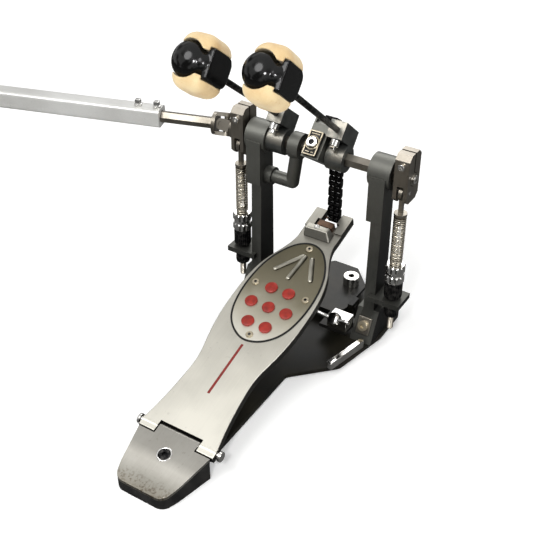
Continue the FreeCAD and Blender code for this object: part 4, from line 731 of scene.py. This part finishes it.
def plate_screws(prefix, places, body, nodes=(), shift=Vector()):
    """Countersunk screws in a footboard."""
    spots = [(on_board(*place, shift), BOARD_UP, ACROSS) for place in places]
    screws = screw_mesh(prefix + "_screws", spots, nickel, *PLATE_SCREW)
    settle(prefix + "_screws", screws, nickel, body, nodes)
    # A dark disc in each socket stands for the shade inside it.
    socket_shade_discs(prefix + "_screw_socket_shade", spots, PLATE_SOCKET_SHADE, body)


plate_metal, place = new_finish("traction_aluminium", {"Metallic": 1.0})
lines, cloud = place.lines((900.0, 40.0, 40.0), (-BOARD_LEAN, 0.0, 0.0)), place.noise(30.0, 5.0)
# Painted sheen: the plate is painted pale at its heel end and dark towards its toe.
rise = place.axis(2).spread(*[on_board(0.0, end, PLATE_TOP).z for end in (PLATE_LOW_END, PLATE_HIGH_END)])
shade = place.node("ShaderNodeValToRGB", inputs={0: rise + 0.30 * cloud - 0.15}, stops=PLATE_SHADES)
shade.paint("Base Color")
(0.30 + 0.18 * cloud + 0.08 * lines).paint("Roughness")
lines.dent(0.12, 0.0001)

rib_metal, place = new_finish("ribs_painted_light", {"Metallic": 1.0})
cloud = place.noise(90.0, 4.0)
# Painted light: rib faces turned to the front left and up are painted pale, the others dark.
lit = place.facing((-0.80, -0.45, 0.40)).spread(0.0, 0.85)
(lit + 0.4 * cloud - 0.2).between("37332a", "d9d5c6").paint("Base Color")
(0.28 + 0.20 * cloud).paint("Roughness")
spots, length, radius, flatness = new_tree("pressed_ribs", "length", "radius", "flatness")
ball = spots.node("GeometryNodeMeshUVSphere", inputs={"Segments": 16, "Rings": 10, "Radius": radius})
capsule = hull(moved(ball, y=0.5 * length), moved(ball, y=-0.5 * length))
RIB_TREE = close_tree(spots, fitted(capsule, "Scale", 1.0, 1.0, flatness))

eased("traction_plate", PLATE_EDGE, plate_metal)
gasket("plate_gasket", "traction_plate", "right_pedal")
ribs("plate_ribs", "right_pedal")
plate_screws("plate", PLATE_SCREWS + [TOE_SCREW], "right_pedal", ["board_screws"])

# Grips: seven red rubber studs pushed through the traction plate in rows of two, three and two.
# Each has a short wall and a low crown.
GRIP_STEP, GRIP_ROW, GRIP_MIDDLE = 20.4, 23.1, 160.7
GRIP_SPOTS = [(0.0, 0.0), (1.0, 0.0), (-1.0, 0.0), (0.5, 1.0), (-0.5, 1.0), (0.5, -1.0), (-0.5, -1.0)]
GRIP_RADIUS, GRIP_WALL, GRIP_CROWN, CROWN_SHARE = 6.6, 1.3, 1.1, 0.97

red_rubber = mottled("red_rubber", {"Specular IOR Level": 0.45}, 160.0, (0.35, 0.75), ("a2281a", "741a10"),
                     (0.34, 0.28), (1800.0, 0.0, 0.15, 0.0001))
spots, radius, wall, crown = new_tree("grip_studs", "radius", "wall", "crown")
ball = spots.node("GeometryNodeMeshUVSphere", inputs={"Segments": 40, "Rings": 16, "Radius": 1.0})
cap = fitted(ball, "Scale", CROWN_SHARE * radius, CROWN_SHARE * radius, crown)
GRIP_TREE = close_tree(spots, hull(moved(upright(spots, 40, radius, wall), z=0.5 * wall), moved(cap, z=wall)))


def grips(name, node, body, shift=Vector()):
    places = [on_board(across * GRIP_STEP, GRIP_MIDDLE + along * GRIP_ROW, PLATE_TOP, shift)
              for across, along in GRIP_SPOTS]
    studs = grown(name, GRIP_TREE, [(place, BOARD_UP, ACROSS) for place in places], red_rubber,
                  radius=GRIP_RADIUS, wall=GRIP_WALL, crown=GRIP_CROWN)
    settle(name, studs, red_rubber, body, [node])


grips("grip_studs", "grips", "right_pedal")

# Toe block: a dull bronze lump between the toe's ears, with the pin that the chain hangs on.
# A wall cast on the board stands before it, with a small plated screw in its top.
TOE_WALL = [[(-16.5, 260.0, 4.6), (15.0, 260.0, 4.6), (14.5, 273.3, 4.6), (-16.5, 273.3, 4.6)],
            [(-16.5, 265.5, 14.0), (9.5, 266.5, 14.0), (9.5, 273.3, 13.2), (-16.5, 273.3, 13.2)]]
WALL_SCREW_AT, WALL_SCREW = (-4.0, 270.0, 13.3), (3.0, 1.2, 1.4)
TOE_EDGE, WALL_EDGE = 0.6, 1.3


def toe_wall(name, body, shift=Vector()):
    sheet = bmesh.new()
    prism(*[[on_board(*corner, shift) for corner in level] for level in TOE_WALL], sheet)
    settle(name, eased_mesh(name, faced_out(sheet), WALL_EDGE, 4), board_metal, body)


bronze, place = new_finish("dull_bronze", {"Metallic": 0.85})
cloud = place.noise(120.0, 5.0)
cloud.spread(0.30, 0.75).between("7d6250", "54443a").paint("Base Color")
(0.35 + 0.25 * cloud).paint("Roughness")
cloud.dent(0.10, 0.0002)
eased("toe_block", TOE_EDGE, bronze)
toe_wall("toe_wall", "right_pedal")
wall_spot = (on_board(*WALL_SCREW_AT), BOARD_UP, ACROSS)
settle("toe_wall_screw", screw_mesh("toe_wall_screw", [wall_spot], chrome, *WALL_SCREW), chrome,
       "right_pedal")

# Chain: a double roller chain of blackened steel, from the toe's pin up to the cam.
# One tree grows the pairs of side plates and another the rollers and pins, a stretch for each body.
CHAIN_PITCH, CHAIN_RADIUS, SHAFT_HEIGHT = 6.35, 34.0, 202.0
RUN_LINKS, BEND_LINKS = 15, 5
LINK_TURN = 2 * math.asin(CHAIN_PITCH / 2 / CHAIN_RADIUS)
PLATE_HEIGHT = 5.2
INNER_PLATES, OUTER_PLATES = [(1.0, 5.55), (0.9, 0.55)], [(0.5, 0.27), (1.0, 6.85)]
ROLLER, CHAIN_PIN = (2.6, 12.1, 0.2), (1.1, 15.0, 0.3)

chain_steel = mottled("black_chain_steel", {"Metallic": 1.0}, 420.0, (0.48, 0.80), ("141415", "3a3835"),
                      (0.38, 0.20), detail=3.0)
spots, pitch, height, thickness, offset = new_tree("link_plates", "pitch", "height", "thickness", "offset")
disc = fitted(upright(spots, 20, 0.5 * height, thickness), "Rotation", y=math.pi / 2)
bar = hull(moved(disc, z=0.5 * pitch), moved(disc, z=-0.5 * pitch))
LINK_TREE = close_tree(spots, joined(moved(bar, x=offset), moved(bar, x=-1.0 * offset)))
spots, radius, length, chamfer = new_tree("cross_pins", "radius", "length", "chamfer")
PIN_TREE = close_tree(spots, hull(upright(spots, 20, radius, length - 2.0 * chamfer),
                                  upright(spots, 20, radius - chamfer, length)))


def pin_mesh(name, spots, material, radius, length, chamfer):
    return grown(name, PIN_TREE, spots, material, radius=radius, length=length, chamfer=chamfer)


def stretch(name, joints, first, body, node):
    """A stretch of chain through its joints: inner and outer plates in turn, rollers and pins."""
    links = [[], []]
    for count, (low, high) in enumerate(zip(joints, joints[1:])):
        links[(first + count) % 2].append(((low + high) / 2, (high - low).normalized(), ACROSS))
    meshes = []
    for places, plates in zip(links, (INNER_PLATES, OUTER_PLATES)):
        meshes += [grown(name, LINK_TREE, places, chain_steel, pitch=CHAIN_PITCH, height=PLATE_HEIGHT,
                         thickness=thickness, offset=offset) for thickness, offset in plates]
    pins = [(joint, ACROSS, UP) for joint in joints[first:]]
    meshes += [pin_mesh(name, pins, chain_steel, *sizes) for sizes in (ROLLER, CHAIN_PIN)]
    settle(name, gathered(name, *meshes), chain_steel, body, [node])


def chain(prefix, side, shift=Vector()):
    """The straight run from the toe, and the stretch that lies on the cam."""
    low = SHAFT_HEIGHT - (RUN_LINKS + 0.5) * CHAIN_PITCH
    run = [Vector((0.0, CHAIN_RADIUS, low + CHAIN_PITCH * count)) * MM + shift
           for count in range(RUN_LINKS + 1)]
    bend = run[-1:]
    for count in range(BEND_LINKS + 1):
        turn = (count + 0.5) * LINK_TURN
        bend.append(Vector((0.0, CHAIN_RADIUS * math.cos(turn), SHAFT_HEIGHT + CHAIN_RADIUS * math.sin(turn)))
                    * MM + shift)
    stretch(prefix + "chain_to_toe", run, 0, side + "chain_to_toe", prefix + "chain_run")
    stretch(prefix + "chain_on_cam", bend, 1, side + "chain_on_cam", prefix + "chain_bend")


chain("", "right_")

# Main drive: a hexagonal steel shaft with the grooved cam, the beater hub and the rocker clamped on it.
# The cam's dark clamp plate has a plated relief and one large screw, and the hub pinches the beater's rod.
RIGHT_LEAN, LEFT_LEAN = 50.1, 51.8
SHAFT = Vector((0.0, 0.0, SHAFT_HEIGHT)) * MM
HUB_RIGHT, HUB_LEFT, ROD_OFFSET, BOSS_ACROSS = 18.5, -49.5, 21.5, 18.0
HUB_SCREW = [(0.0, 0.1), (4.4, 0.1), (5.0, -0.6), (5.0, -6.4), (4.4, -7.0), (0.0, -7.0)]
HUB_SCREW_UP, KEY_SQUARE, KEY_OUT = 19.5, (5.0, 5.0, 3.6), 8.7
CAM_FACE, CAM_ALONG = tilted(45.0)
CAM_FRONT = SHAFT + CAM_FACE * 26.9 * MM
# The second set of sizes is for the dark disc of painted shade in the cam screw's socket.
CAM_SCREW, CAM_SOCKET_SHADE, END_SCREW = (5.5, 4.0, 2.7), (3.4, 1.2, 4.06), (4.5, 2.5, 2.2)
RELIEF_RING = [(5.8, 0.0), (5.8, 1.3), (6.2, 1.7), (7.0, 1.7), (7.4, 1.3), (7.4, 0.0), (5.8, 0.0)]
RELIEF_BARS = [((1.4, 25.0, 1.0), -6.6, 0.0), ((1.4, 25.0, 1.0), 6.6, 0.0), ((13.0, 1.4, 1.0), 0.0, 11.9),
               ((13.0, 1.4, 1.0), 0.0, -11.9), ((9.0, 1.1, 0.9), 0.0, 9.4), ((4.0, 1.1, 0.9), -2.4, -9.2),
               ((2.6, 1.1, 0.9), 3.0, -9.2)]
BAR_SUNK = 0.2
SHAFT_EDGE, CAM_EDGE, CAM_CLAMP_EDGE, HUB_EDGE, KEY_EDGE, RELIEF_EDGE = 0.5, 0.6, 0.9, 1.1, 0.4, 0.3
ROCKER_X, ROCKER_HALF = 92.5, 7.5
ROCKER_PIN, ROCKER_PIN_Y, ROCKER_PIN_Z = (2.0, 2 * ROCKER_HALF, 0.3), -6.0, -13.0
ROCKER_SCREW, ROCKER_SCREW_Y, ROCKER_SCREW_Z = (3.5, 3.0, 1.7), -13.0, 17.0


def leaning(x, lean, out, along):
    """A point of a hub or a beater, and its two ways: square to the rod, and along it."""
    upward, outward = tilted(lean)
    return SHAFT + (ACROSS * x + outward * out + upward * along) * MM, outward, upward


def screw_set(name, hub_x, lean, rocker_x, others, body, node):
    """The hub's collar and key square, the rocker's pin and screw, and what else is screwed to a shaft."""
    foot, outward, _ = leaning(hub_x, lean, ROD_OFFSET - BOSS_ACROSS / 2, HUB_SCREW_UP)
    collar = mesh_of(name, faced_out(turned(HUB_SCREW, foot, outward)))
    square = eased_mesh(name, block_sheet(KEY_SQUARE, frame_at(foot - outward * KEY_OUT * MM, outward)),
                        KEY_EDGE)
    pin_at = SHAFT + Vector((rocker_x, ROCKER_PIN_Y, ROCKER_PIN_Z)) * MM
    screw_at = SHAFT + Vector((rocker_x, ROCKER_SCREW_Y, ROCKER_SCREW_Z)) * MM
    pin = pin_mesh(name, [(pin_at, ACROSS, UP)], chrome, *ROCKER_PIN)
    screw = screw_mesh(name, [(screw_at, Vector((0.0, -1.0, 0.0)), ACROSS)], chrome, *ROCKER_SCREW)
    settle(name, gathered(name, collar, square, *others, pin, screw), chrome, body, [node])


for node in ("main_shaft", "slave_shaft"):
    eased(node, SHAFT_EDGE, steel)
eased("drive_cam", CAM_EDGE, casting)
eased("cam_clamp", CAM_CLAMP_EDGE, black_steel, 3)
for node, lean in (("right_hub", RIGHT_LEAN), ("slave_hub", LEFT_LEAN)):
    worn_and_painted_light, place = new_finish(node + "_casting", {"Metallic": 0.85})
    cloud, grain = place.noise(120.0, 5.0), place.noise(1300.0)
    # Wear and painted light: front faces are painted pale in patches as wear, and faces turned up, to the
    # front and to the right are painted lighter.
    front = place.facing(tilted(lean)[0]).spread(0.80, 0.97) * cloud.spread(0.30, 0.55)
    lit = place.facing((0.35, -0.55, 0.75)).spread(-0.2, 1.0)
    dark = (0.45 * cloud + 0.2 * grain + 0.45 * lit).spread(0.25, 0.85).between("343635", "70726f")
    front.between(dark, "98948a").paint("Base Color")
    (0.40 + 0.12 * grain - 0.12 * front).paint("Roughness")
    grain.dent(0.25, 0.0002)
    eased(node, HUB_EDGE, worn_and_painted_light, 3)
relief = turned(RELIEF_RING, CAM_FRONT, CAM_FACE)
for sizes, x, y in RELIEF_BARS:
    middle = CAM_FRONT + (CAM_FACE * (sizes[2] / 2 - BAR_SUNK) + ACROSS * x + CAM_ALONG * y) * MM
    block_sheet(sizes, frame_at(middle, CAM_FACE), relief)
settle("clamp_relief", eased_mesh("clamp_relief", faced_out(relief), RELIEF_EDGE), nickel, "main_drive")
cam_spot = (CAM_FRONT, CAM_FACE, ACROSS)
end_spot = (SHAFT + ACROSS * (ROCKER_X + ROCKER_HALF) * MM, ACROSS, UP)
# A dark disc in the cam screw's socket stands for the shade inside it.
socket_shade_discs("cam_screw_socket", [cam_spot], CAM_SOCKET_SHADE, "main_drive")
main_others = [screw_mesh("cam_screw", [cam_spot], chrome, *CAM_SCREW),
               screw_mesh("end_screw", [end_spot], chrome, *END_SCREW)]
screw_set("main_screw_set", HUB_RIGHT, RIGHT_LEAN, ROCKER_X, main_others, "main_drive", "main_screws")
screw_set("slave_screw_set", HUB_LEFT, LEFT_LEAN, -ROCKER_X, [], "slave_drive", "slave_screws")

# Rockers: split blocks of nickel plated steel, clamped on the ends of the shafts.
# A clevis under each one holds the pin for the spring's hook.
ROCKER_EDGE = 1.0

rocker_metal = brushed("rocker_nickel", "a9a296", "6e6860", (0.24, 0.44), (260.0, 260.0, 60.0))[0]
for node in ("right_rocker", "left_rocker"):
    eased(node, ROCKER_EDGE, rocker_metal, 3)

# Beaters: a blackened rod, a moulded black core with a dome and a flat cheek, and two pressed felt pads.
# The pads are glued to the core's two striking sides and worn smooth.
HEAD_REACH = 177.0
DOME, DOME_AT, DOME_RISE = 16.6, Vector((-4.5, 0.0, 14.0)), 10.5
NECK, NECK_AT, NECK_LONG, NECK_RISE = 10.5, Vector((6.0, 0.0, 12.5)), 12.4, 8.5
RIM, RIM_HALF, RIM_LOW, RIM_HIGH, ARC_STEPS = 19.0, 13.2, -20.0, 8.0, 24
SPINE, SPINE_DROP = (28.0, 20.6, 33.0), 4.8
CHEEK, CHEEK_OUT, CHEEK_TIP, CHEEK_FOOT, CORNER_STEPS = (5.4, 27.8, 33.8), 15.6, 2.5, 8.5, 8
SIDEWAYS = Matrix(((0, 0, 1, 0), (1, 0, 0, 0), (0, 1, 0, 0), (0, 0, 0, 1)))
FELT, FELT_EDGE, FELT_GAP = (35.8, 50.8, 42.8), 13.0, 0.35
CHANNEL, WELL_TOP, BOWL_STEPS = (80.0, 21.4, 90.0), 60.0, 12
VOXEL, CORE_SMOOTH, FELT_SMOOTH = 0.65, 10, 3
ROD_PROFILE = [(0.0, -9.0), (2.5, -9.0), (3.0, -8.4), (3.0, 183.4), (2.5, 184.0), (0.0, 184.0)]

gloss, place = new_finish("gloss_black_shell", {"Specular IOR Level": 0.32})
haze = place.noise(90.0, 5.0)
haze.between("060606", "0d0d0d").paint("Base Color")
(0.10 + 0.14 * haze.spread(0.40, 0.80)).paint("Roughness")

felt, place = new_finish("cream_felt", {"Specular IOR Level": 0.2, "Sheen Weight": 0.25,
                                       "Sheen Roughness": 0.5})
cloud, fibre = place.noise(45.0, 5.0), place.noise(1500.0, 4.0)
speck = place.noise(420.0, 2.0).spread(0.66, 0.74)
tone = (0.8 * cloud + 0.2 * fibre).spread(0.30, 0.72) + 0.35 * speck
tone.between("ebd8ac", "cfab77").paint("Base Color")
(0.80 + 0.15 * fibre).paint("Roughness")
(0.6 * fibre + 0.4 * cloud).dent(0.35, 0.0004)


def extruded(outline, low, high, sheet):
    """An outline in the plane across the rod, drawn out along it."""
    prism(*[[Vector((x, y, level)) * MM for x, y in outline] for level in (low, high)], sheet)


def rim_outline(swell):
    """The round collar at the dome's foot, cut flat where the felt pads pass it."""
    radius, half = RIM + swell, RIM_HALF + swell
    reach = math.asin(half / radius)
    arc = [math.pi - reach + 2 * reach * step / ARC_STEPS for step in range(ARC_STEPS + 1)]
    left = [(DOME_AT.x + radius * math.cos(angle), radius * math.sin(angle)) for angle in arc]
    return left + [(DOME_AT.x, -half), (DOME_AT.x, half)]


def cheek_outline():
    """The cheek seen from its side: square corners at the tip, and round ones towards the hub."""
    points = []
    for across, along, first, radius in ((1, 1, 0, CHEEK_TIP), (-1, 1, 90, CHEEK_TIP),
                                         (-1, -1, 180, CHEEK_FOOT), (1, -1, 270, CHEEK_FOOT)):
        for step in range(CORNER_STEPS + 1):
            angle = math.radians(first + 90 * step / CORNER_STEPS)
            points.append((across * (CHEEK[1] / 2 - radius) + radius * math.cos(angle),
                           along * (CHEEK[2] / 2 - radius) + radius * math.sin(angle)))
    return points


def core_sheet(carry):
    """The core's overlapping lumps: dome, neck, collar, spine and cheek."""
    sheet = bmesh.new()
    extruded(cheek_outline(), CHEEK_OUT - CHEEK[0] / 2, CHEEK_OUT + CHEEK[0] / 2, sheet)
    bmesh.ops.transform(sheet, matrix=SIDEWAYS, verts=sheet.verts)
    for middle, reaches in ((DOME_AT, (DOME, DOME, DOME_RISE)), (NECK_AT, (NECK_LONG, NECK, NECK_RISE))):
        ball = bmesh.ops.create_uvsphere(sheet, u_segments=64, v_segments=40, radius=MM)["verts"]
        bmesh.ops.scale(sheet, vec=reaches, verts=ball)
        bmesh.ops.translate(sheet, vec=middle * MM, verts=ball)
    extruded(rim_outline(0.0), RIM_LOW, RIM_HIGH, sheet)
    block_sheet(SPINE, Matrix.Translation((0.0, 0.0, -SPINE_DROP * MM)), sheet)
    bmesh.ops.transform(sheet, matrix=carry, verts=sheet.verts)
    return sheet


def pad_rooms(carry):
    """The room that the pads leave for the core: a channel, a well over the dome, the collar and the cheek."""
    radius = DOME + FELT_GAP
    slopes = [math.radians(90 * step / BOWL_STEPS) for step in range(BOWL_STEPS + 1)]
    bowl = [(radius * math.sin(slope), -radius * math.cos(slope)) for slope in slopes]
    well = turned(bowl + [(radius, WELL_TOP), (0.0, WELL_TOP)], carry @ (DOME_AT * MM), carry.to_3x3() @ UP)
    collar = bmesh.new()
    extruded(rim_outline(FELT_GAP), RIM_LOW - FELT_GAP, WELL_TOP, collar)
    bmesh.ops.transform(collar, matrix=carry, verts=collar.verts)
    cheek = block_sheet([size + 2 * FELT_GAP for size in CHEEK],
                        carry @ Matrix.Translation(ACROSS * CHEEK_OUT * MM))
    return [block_sheet(CHANNEL, carry), faced_out(well), collar, cheek]


def beater(body, x, lean):
    """A rod, a shell and a pair of pads, each in place of its CAD node."""
    head, _, along = leaning(x, lean, ROD_OFFSET, HEAD_REACH)
    carry = frame_at(head, along)
    voxels = ("REMESH", {"mode": "VOXEL", "voxel_size": VOXEL * MM})
    rod = mesh_of(body + "_rod_turned", turned(ROD_PROFILE, leaning(x, lean, ROD_OFFSET, 0.0)[0], along))
    settle(body + "_rod_turned", rod, black_steel, body, [body + "_rod"])
    core = shaped(body + "_shell", mesh_of(body, core_sheet(carry)), voxels,
                  ("SMOOTH", {"factor": 0.5, "iterations": CORE_SMOOTH}))
    core.shade_smooth()
    settle(body + "_shell", core, gloss, body, [body + "_core"])
    cutters = [placed(body + "_cutter", mesh_of(body + "_cutter", sheet)) for sheet in pad_rooms(carry)]
    cuts = [("BOOLEAN", {"operation": "DIFFERENCE", "object": cutter, "solver": "EXACT"})
            for cutter in cutters]
    pads = eased_mesh(body + "_pads", block_sheet(FELT, carry), FELT_EDGE, 8)
    pads = shaped(body + "_felt_pads", pads, *cuts, voxels,
                  ("SMOOTH", {"factor": 0.5, "iterations": FELT_SMOOTH}))
    pads.shade_smooth()
    for cutter in cutters:
        bpy.data.objects.remove(cutter)
    piece = settle(body + "_felt_pads", pads, felt, body, [body + "_felt"])


beater("right_beater", HUB_RIGHT, RIGHT_LEAN)
beater("left_beater", HUB_LEFT, LEFT_LEAN)

# Return springs: a coil of nickel plated wire between a hook on the rocker's pin and an adjuster.
# The adjuster stands on the shelf: a threaded bolt with a chromed nut, a black sleeve and a black cap.
SPRING_LOW, SPRING_RADIUS, WIRE, SPRING_PITCH, SPRING_TURNS = 105.0, 5.8, 1.35, 2.14, 26
SPRING_Y = -6.0
NUT_LOW, NUT_HIGH, SLEEVE_LOW, CAP_LOW, CAP_HIGH = 83.7, 104.7, 64.4, 40.6, 53.6
NUT_MIDDLE, NUT_GROOVE, RIDGE_EDGE = (NUT_LOW + NUT_HIGH) / 2, 1.5, 1.6
HOOK_EDGE = 0.5
NUT_RIDGES, SLEEVE_RIDGES, CAP_RIDGES = (10.4, 12, 1.4), (9.4, 24, 0.6), (7.9, 24, 0.5)
NUT_WAIST = [(0.0, -2.4), (8.9, -2.4), (8.9, 2.4), (0.0, 2.4)]
NUT_NECK = [(0.0, -1.0), (4.6, -1.0), (4.6, 8.4), (4.0, 9.0), (0.0, 9.0)]
SLEEVE_FOOT = [(0.0, -2.0), (6.4, -2.0), (6.4, 1.0), (0.0, 1.0)]
CAP_TOP = [(0.0, -1.0), (6.4, -1.0), (6.4, 2.0), (0.0, 2.0)]
BOLT = [(0.0, 22.0), (2.9, 22.0)] + [(3.5 if step % 2 else 3.0, 22.6 + 0.6 * step) for step in range(64)]
BOLT += [(3.0, 101.9), (0.0, 101.9)]

spring_wire, place = new_finish("nickel_spring_wire", {"Metallic": 1.0})
cloud = place.noise(160.0, 4.0)
# Painted shade: faces turned up or down, into the gaps between the turns, are painted dark.
painted_gap_shade = place.maths("ABSOLUTE", place.facing(UP)).spread(0.35, 0.95)
(painted_gap_shade + 0.3 * cloud - 0.15).between("f6eedc", "6a6252").paint("Base Color")
(0.20 + 0.16 * cloud).paint("Roughness")

spots, turns, radius, height, thick = new_tree("wound_wire", "turns", "radius", "height", "thick")
helix = spots.node("GeometryNodeCurveSpiral", inputs={"Resolution": 28, "Rotations": turns, "Height": height,
                                                      "Start Radius": radius, "End Radius": radius})
ring = spots.node("GeometryNodeCurvePrimitiveCircle", mode="RADIUS",
                  inputs={"Resolution": 10, "Radius": thick})
COIL_TREE = close_tree(spots, spots.node("GeometryNodeCurveToMesh", inputs={
    "Curve": helix, "Profile Curve": ring, "Fill Caps": True}))

spots, ridges, radius, depth, height, edge = new_tree("ridged_barrel", "ridges", "radius", "depth", "height",
                                                        "edge")
barrel = spots.node("GeometryNodeMeshCylinder", inputs={"Vertices": 144, "Side Segments": 24,
                                                        "Radius": radius, "Depth": height})
here = spots.node("GeometryNodeInputPosition")
x, y, z = [here.axis(index) for index in range(3)]
wave = spots.maths("SINE", ridges * spots.maths("ARCTAN2", y, x))
ridged_share = (0.5 * height - spots.maths("ABSOLUTE", z)).spread(0.0, edge)
cut_in = 0.5 * depth * (1.0 - wave) * ridged_share + depth * (1.0 - ridged_share)
share = 1.0 - spots.maths("DIVIDE", cut_in, radius)
there = spots.node("ShaderNodeCombineXYZ", inputs={0: x * share, 1: y * share, 2: z})
RIDGE_TREE = close_tree(spots, spots.node("GeometryNodeSetPosition", inputs={
    "Geometry": barrel, "Position": there}))


def spring_group(prefix, x):
    """A coil with its hook, and the adjuster under it."""
    unit = prefix + "_unit"

    def spot(height):
        return Vector((x, SPRING_Y, height)) * MM, UP, ACROSS

    def lathe(height, profile, steps=ROUND_STEPS):
        return mesh_of(prefix, turned(profile, spot(height)[0], UP, steps))

    def ridged(low, high, sizes, material):
        radius, ridges, depth = sizes
        return grown(prefix, RIDGE_TREE, [spot((low + high) / 2)], material, ridges=ridges, radius=radius,
                     depth=depth, height=high - low, edge=RIDGE_EDGE)

    coil = grown(prefix + "_coil", COIL_TREE, [spot(SPRING_LOW + WIRE / 2)], spring_wire,
                 turns=SPRING_TURNS, radius=SPRING_RADIUS, height=SPRING_TURNS * SPRING_PITCH, thick=WIRE / 2)
    coil.materials.clear()
    coil.materials.append(spring_wire)
    piece = placed(prefix + "_coil", coil)
    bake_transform(piece)
    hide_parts(prefix)
    eased(prefix + "_hook", HOOK_EDGE, steel)
    nut = gathered(prefix + "_nut", ridged(NUT_LOW, NUT_MIDDLE - NUT_GROOVE, NUT_RIDGES, chrome),
                   ridged(NUT_MIDDLE + NUT_GROOVE, NUT_HIGH, NUT_RIDGES, chrome),
                   lathe(NUT_MIDDLE, NUT_WAIST), lathe(NUT_HIGH, NUT_NECK))
    settle(prefix + "_nut", nut, chrome, unit, [prefix + "_adjuster"])
    sleeve = gathered(prefix + "_sleeve", ridged(SLEEVE_LOW, NUT_LOW, SLEEVE_RIDGES, black_steel),
                      lathe(SLEEVE_LOW, SLEEVE_FOOT), ridged(CAP_LOW, CAP_HIGH, CAP_RIDGES, black_steel),
                      lathe(CAP_HIGH, CAP_TOP))
    settle(prefix + "_sleeve", sleeve, black_steel, unit)
    settle(prefix + "_bolt", lathe(0.0, BOLT, 24), steel, unit)


spring_group("right_spring", ROCKER_X)
spring_group("left_spring", -ROCKER_X)

# Drive shaft: steel universal joints at both ends, an inner rod, and a square tube that slides over it.
# The tube is drawn aluminium, and two key-head screws on collars pinch it on the rod.
DRIVE_TURN = 16.9
NEAR_JOINT = Vector((-114.0, 0.0, SHAFT_HEIGHT)) * MM
DRIVE_WAY = Vector((-math.cos(math.radians(DRIVE_TURN)), -math.sin(math.radians(DRIVE_TURN)), 0.0))
TUBE_HALF, TUBE_SCREWS = 10.0, (77.0, 98.0)
TUBE_COLLAR = [(0.0, -0.1), (4.4, -0.1), (4.4, 1.7), (3.8, 2.3), (2.4, 2.3), (2.4, 3.4), (0.0, 3.4)]
TUBE_KEY, TUBE_KEY_RISE, TUBE_KEY_EDGE = (5.6, 5.6, 4.2), 4.9, 0.5
CROSS_EDGE, ROD_EDGE, TUBE_EDGE = 0.3, 0.5, 0.7

tube_metal = brushed("drawn_aluminium", "e6e6e3", "cccbc7", (0.20, 0.36), (22.0, 1300.0, 1300.0),
                     (0.0, 0.0, -DRIVE_TURN), metallic=0.45)[0]
for node in ("near_cross", "far_cross"):
    eased(node, CROSS_EDGE, steel)
eased("drive_rod", ROD_EDGE, steel)
eased("drive_tube", TUBE_EDGE, tube_metal, 3)
screw_parts = []
for along in TUBE_SCREWS:
    foot = NEAR_JOINT + DRIVE_WAY * along * MM + UP * TUBE_HALF * MM
    screw_parts.append(mesh_of("tube_collar", turned(TUBE_COLLAR, foot, UP)))
    screw_parts.append(eased_mesh("tube_key", block_sheet(TUBE_KEY, frame_at(
        foot + UP * TUBE_KEY_RISE * MM, UP, DRIVE_WAY)), TUBE_KEY_EDGE))
settle("tube_key_screws", gathered("tube_key_screws", *screw_parts), chrome, "drive_tube",
       ["tube_screws"])

# Second pedal: the left foot's board, beyond the drive shaft, cast and finished like the main one.
# It has its own base, posts, shaft, cam, chain and heel, and no springs of its own.
SECOND = Vector((-543.1, -100.3, 0.0)) * MM
SECOND_REAR = -400.0
HEEL_UNDERSIDE = (0.0011, 0.0013)
SECOND_POST_EDGE, SECOND_HEEL_EDGE = 0.9, 1.0

eased("second_base", BASE_EDGE, powder)
for node in ("second_right_post", "second_left_post"):
    eased(node, SECOND_POST_EDGE, casting, 3)
# The second heel carries the same painted highlight band as the first.
second_metal, place, worn_and_painted_light = heel_metal_with_painted_highlight("second_heel_aluminium", SECOND)
plate_share = place.along(HEEL_UP).spread(*HEEL_UNDERSIDE)
plate_share.between("1b1b1b", worn_and_painted_light).paint("Base Color")
plate_share.paint("Metallic")
eased("second_heel", SECOND_HEEL_EDGE, second_metal, 3, heel_sheet("second_heel", SECOND_REAR))
eased("second_shaft", SHAFT_EDGE, steel)
eased("second_cam", CAM_EDGE, casting)
eased("second_footboard", BOARD_EDGE, board_metal, 3)
eased("second_traction_plate", PLATE_EDGE, plate_metal)
gasket("second_gasket", "second_traction_plate", "second_pedal", SECOND)
ribs("second_ribs", "second_pedal", SECOND)
toe_wall("second_toe_wall", "second_pedal", SECOND)
grips("second_grip_studs", "second_grips", "second_pedal", SECOND)
plate_screws("second", PLATE_SCREWS, "second_pedal", shift=SECOND)
chain("second_", "second_", SECOND)
